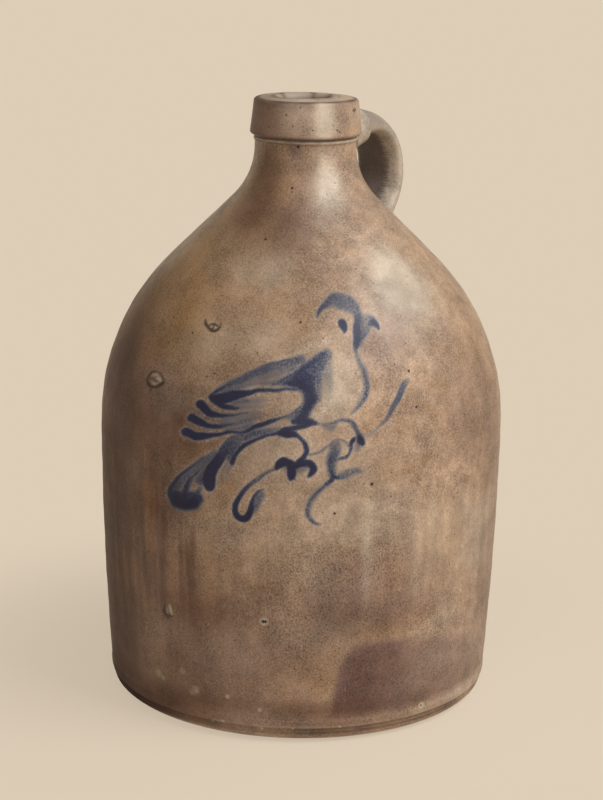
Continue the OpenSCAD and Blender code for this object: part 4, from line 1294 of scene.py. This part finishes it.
def strap_line(s, rings=110):
    """Middle line of the strap in the XZ plane, from inside the neck out, round and
    down into the shoulder: places, headings, half widths and half thicknesses."""
    far = s.collar_radius + s.handle_reach - s.grip_thickness / 2
    root = np.array([s.neck_radius, s.height - s.handle_drop])
    side = root[1] - s.handle_fall
    lean = s.shoulder_lean
    # The cone of the shoulder, and the point on it where the strap lands
    land_x = s.neck_radius + (far - s.neck_radius) * 0.70
    cone_x = s.body_radius - s.shoulder_arc * (1 - math.cos(lean))
    cone_z = levels(s)[2] + s.shoulder_arc * math.sin(lean)
    land_z = cone_z + (cone_x - land_x) / math.tan(lean)
    sunk = s.tail_thickness / 2 + s.lute_out
    end = np.array([land_x - sunk * math.cos(lean), land_z - sunk * math.sin(lean)])
    upper = [root, root + [(far - root[0]) * 0.50, s.handle_fall * 0.24],
             [far, side + s.handle_fall * 0.84], [far, side]]
    lower = [[far, side], [far, side - (side - end[1]) * 0.36],
             [end[0] + (far - end[0]) * 0.62, end[1] + (side - end[1]) * 0.36], end]
    t = np.linspace(0, 1, rings)
    (place_a, heading_a), (place_b, heading_b) = cubic(upper, t), cubic(lower, t)
    # The upper root runs straight on, up to 8.5 mm into the neck
    sink = np.linspace(8.5, 0.8, 6)[:, None] * MM
    place = np.vstack([place_a[0] - heading_a[0] * sink, place_a, place_b[1:]])
    heading = np.vstack([np.repeat(heading_a[:1], 6, 0), heading_a, heading_b[1:]])
    halves = []
    for at_root, in_grip, at_tail in (
        (s.root_width, s.grip_width, s.tail_width),
        (s.root_thickness, s.grip_thickness, s.tail_thickness),
    ):
        thinned = at_root + (in_grip - at_root) * eased(t / 0.58)
        spread_out = in_grip + (at_tail - in_grip) * eased((t - 0.25) / 0.75)
        halves.append(np.concatenate([np.full(6, at_root), thinned, spread_out[1:]]) / 2)
    return place, heading, *halves


def squared(wave, power=0.8):
    """A wave drawn out towards a square one: its size to a power, with its own sign."""
    return np.sign(wave) * np.abs(wave) ** power


def strap_rings(place, heading, width, thick, lift=0):
    """Rings round the line. Each is a rounded oblong: half width times the sine, and half
    thickness times the cosine, each to the power of 0.8, and a lift out of its face."""
    across = squared(np.sin(STRAP_TURN)) * width[:, None]
    up = squared(np.cos(STRAP_TURN)) * thick[:, None] + lift
    return np.stack([place[:, :1] - heading[:, 1:] * up, across,
                     place[:, 1:] + heading[:, :1] * up], -1)


def capped_piece(name, rings, node):
    """A piece of such rings, each end closed round its middle."""
    points = np.vstack([rings.reshape(-1, 3), rings[0].mean(0), rings[-1].mean(0)])
    # The rings run the other way round from a pot's, so each face is reversed
    faces = [face[::-1] for face in turned_faces(*rings.shape[:2])]
    return make_piece(name, points, faces, node)


class JUG_OT_handle(bpy.types.Operator):
    """Pull the strap handle, with the long furrows that the wet fingers left"""

    bl_idname = "jug.handle"
    bl_label = "Strap handle"

    def execute(self, context):
        s = context.scene.jug_sizes
        place, heading, width, thick = strap_line(s)
        sine, cosine = np.sin(STRAP_TURN), np.cos(STRAP_TURN)
        along = np.append(0, np.cumsum(np.hypot(*np.diff(place, axis=0).T)))[:, None] / MM
        # Two shallow furrows down the outer face, one down the inner face
        across = squared(sine)
        outer, inner = np.clip(cosine, 0, 1) ** 0.5, np.clip(-cosine, 0, 1) ** 0.5
        furrow = (0.42 * outer * (np.cos(across * 8.5) - 1)
                  + 0.5 * inner * (np.cos(across * 4.4) - 1)) / 2
        wander = 0.12 * np.sin(along / 7 + 3 * across) * (outer + inner)
        fade = np.clip(np.minimum(along - 12, along[-1] - 14 - along) / 12, 0, 1)
        lift = (furrow + wander - 0.1) * fade * MM * squared(cosine, 0.3)
        piece = capped_piece("pulled_handle", strap_rings(place, heading, width, thick, lift),
                             "strap_handle")
        edge = np.abs(sine) ** 4
        share = along / along[-1]
        # Painted shade on the face toward the neck, with a ragged edge, and on the outer face
        # past the root
        ragged = 0.05 * np.sin(along * 2.3) * np.sin(along * 0.9 + 2 * STRAP_TURN)
        on_inner = eased((0.26 * sine - cosine + ragged - 0.66) / 0.3)
        on_outer = eased((cosine + 0.5) / 0.7) * eased((share - 0.09) / 0.07)
        # Pale paints highlight along the strap's sides; smoke, plum and scar paint shade on the
        # inner face; groove paints shade in the furrows
        keep_values(
            piece,
            lift.shape,
            pale=0.5 * edge * (1 - 0.6 * share),
            warm=0,
            plum=0.15 * on_inner,
            smoke=on_inner + 0.6 * on_outer * (1 - 0.5 * share),
            runs=0,
            speckled=0.1,
            scar=0.25 * on_inner * (1 - share),
            bare=0.25 * edge * (share > 0.75),
            groove=0.3 * -furrow,
        )
        c = context.scene.jug_colours
        piece.data.materials.append(
            salt_glaze("salt_glazed_handle", c.handle, smoke=c.handle_inside, stipple=0.6)
        )
        return {"FINISHED"}


class JUG_OT_lutings(bpy.types.Operator):
    """Work the luting clay round both roots of the handle"""

    bl_idname = "jug.lutings"
    bl_label = "Luting clay"

    def execute(self, context):
        s = context.scene.jug_sizes
        place, heading, width, thick = strap_line(s)
        glaze = context.scene.jug_colours.luting
        glaze = salt_glaze("salt_glazed_luting", glaze, clouds=False, stipple=0.5)
        end_run = np.hypot(*(place - place[-1]).T) - s.tail_thickness / 2 - s.lute_out
        for name, node, run in (
            ("upper_luting_clay", "upper_luting", place[:, 0] - s.collar_radius),
            ("lower_luting_clay", "lower_luting", end_run),
        ):
            near = run < s.lute_run + 0.002
            # It stands out at the pot, and sinks under the strap's face further up
            sunk = 0.0004
            grow = (s.lute_out + sunk) * (1 - eased(run[near] / s.lute_run)) - sunk
            rings = strap_rings(place[near], heading[near], width[near] + grow, thick[near] + grow)
            # Finger-smoothed unevenness
            press = np.sin(STRAP_TURN * 5 + 1) * np.sin(np.arange(near.sum()) / 6)[:, None]
            press = 0.25 * press * np.clip(grow[:, None] / s.lute_out, 0, 1) + 0.1
            rings[..., 1] -= np.sin(STRAP_TURN) * press * MM
            piece = capped_piece(name, rings, node)
            piece.data.materials.append(glaze)
        return {"FINISHED"}


class JUG_OT_lining(bpy.types.Operator):
    """Line the inside with brown slip"""

    bl_idname = "jug.lining"
    bl_label = "Slip lining"

    def execute(self, context):
        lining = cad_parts["slip_lining"]
        glaze = slip_glaze("brown_slip_glaze")
        for place in lining.material_slots:
            place.material = glaze
        return {"FINISHED"}


def seen_directly(tree):
    """1 for a ray from the camera, a mirror or a clear body, and 0 for any other."""
    path = add(tree, "LightPath").outputs
    seen = path["Is Camera Ray"]
    for ray in ("Is Glossy Ray", "Is Transmission Ray"):
        seen = add(tree, "Math", (seen, path[ray]), operation="MAXIMUM")
    return seen


def paper(name, shade, lit):
    """Pale paper floor: it takes the jug's shadow near the jug, and further off it is
    seen in its plain colour, so that it runs into the backdrop."""
    material, tree = new_material(name)
    place = add(tree, "TexCoord").outputs["Object"]
    away = add(tree, "VectorMath", (place,), operation="LENGTH")
    far = add(tree, "MapRange", (away, 0.12, 0.34, 0.72, 1), interpolation_type="SMOOTHSTEP")
    share = add(tree, "Math", (far, seen_directly(tree)), operation="MULTIPLY")
    sheet = [min(0.95, part * lit) for part in shade]
    shader = add(tree, "BsdfPrincipled", {"Base Color": sheet, "Roughness": 0.9})
    glow = add(tree, "Emission", (shade, 1))
    both = add(tree, "MixShader", (share, shader, glow))
    add(tree, "OutputMaterial", (both,))
    return material


class JUG_OT_stage(bpy.types.Operator):
    """Set out the paper floor, the lamps, the world and the camera"""

    bl_idname = "jug.stage"
    bl_label = "Stage"

    def execute(self, context):
        stage = context.scene.jug_stage
        toward = Vector((math.cos(FACE_ANGLE), math.sin(FACE_ANGLE), 0))
        right = Vector((-toward.y, toward.x, 0))
        up = Vector((0, 0, 1))

        camera = linked("camera", bpy.data.cameras.new("camera"))
        camera.data.lens = stage.lens
        # The lens is given for a sensor of 36 mm
        camera.data.sensor_width = 36
        look = (-toward * math.cos(stage.pitch) - up * math.sin(stage.pitch)).normalized()
        image_up = right.cross(look).normalized()
        across = right * math.cos(stage.roll) + image_up * math.sin(stage.roll)
        over = image_up * math.cos(stage.roll) - right * math.sin(stage.roll)
        turn = Matrix((across, over, -look)).transposed().to_4x4()
        place = toward * stage.distance + up * stage.camera_height
        camera.matrix_world = Matrix.Translation(place) @ turn
        context.scene.camera = camera

        # The key lamp stands high on the right and the fill lamp before the jug, and both
        # face its middle
        middle = Vector((0, 0, 0.17))
        for name, way, away, size, power in (
            ("key_lamp", right * 0.62 + toward * 0.36 + up * 0.70, 1.4, 0.9, stage.key),
            ("fill_lamp", right * 0.10 + toward * 0.90 + up * 0.42, 1.8, 1.4, stage.fill),
        ):
            lamp = linked(name, bpy.data.lights.new(name, "AREA"))
            lamp.data.shape = "SQUARE"
            lamp.data.size = size
            lamp.data.energy = power
            way = way.normalized()
            lamp.location = middle + way * away
            lamp.rotation_mode = "QUATERNION"
            lamp.rotation_quaternion = way.to_track_quat("Z", "Y")

        mesh = bpy.data.meshes.new("paper_floor")
        half = 12
        corners = [(-half, -half, 0), (half, -half, 0), (half, half, 0), (-half, half, 0)]
        mesh.from_pydata(corners, [], [(0, 1, 2, 3)])
        floor = linked("paper_floor", mesh)
        mesh.materials.append(paper("matte_paper", stage.paper, 1.22))

        world = bpy.data.worlds.new("studio")
        context.scene.world = world
        world.use_nodes = True
        tree = world.node_tree
        tree.nodes.clear()
        light = add(tree, "Background", ((1, 0.98, 0.95), stage.ambient))
        backdrop = add(tree, "Background", (stage.paper, 1))
        both = add(tree, "MixShader", (seen_directly(tree), light, backdrop))
        add(tree, "OutputWorld", (both,))
        context.scene.view_settings.view_transform = "Standard"
        return {"FINISHED"}


class JUG_PT_panel(bpy.types.Panel):
    """The jug's steps, in the order of their making"""

    bl_label = "Salt-Glazed Jug"
    bl_idname = "JUG_PT_panel"
    bl_space_type = "VIEW_3D"
    bl_region_type = "UI"
    bl_category = "Jug"

    def draw(self, context):
        for step in STEPS:
            self.layout.operator(step.bl_idname)
        for group in ("jug_sizes", "jug_colours", "jug_stage"):
            box = self.layout.box()
            values = getattr(context.scene, group)
            for name in values.__annotations__:
                box.prop(values, name)


STEPS = (JUG_OT_body, JUG_OT_collar, JUG_OT_handle, JUG_OT_lutings, JUG_OT_lining, JUG_OT_stage)
GROUPS = {"jug_sizes": JugSizes, "jug_colours": JugColours, "jug_stage": JugStage}


def register():
    for group in (*GROUPS.values(), *STEPS, JUG_PT_panel):
        bpy.utils.register_class(group)
    for name, group in GROUPS.items():
        setattr(bpy.types.Scene, name, PointerProperty(type=group))


def unregister():
    for name in GROUPS:
        delattr(bpy.types.Scene, name)
    for group in reversed((*GROUPS.values(), *STEPS, JUG_PT_panel)):
        bpy.utils.unregister_class(group)


def main():
    """Registers the classes and runs the steps in order."""
    register()
    bpy.ops.jug.stage()
    bpy.ops.jug.body()
    bpy.ops.jug.collar()
    bpy.ops.jug.handle()
    bpy.ops.jug.lutings()
    bpy.ops.jug.lining()


if __name__ == "__main__":
    main()
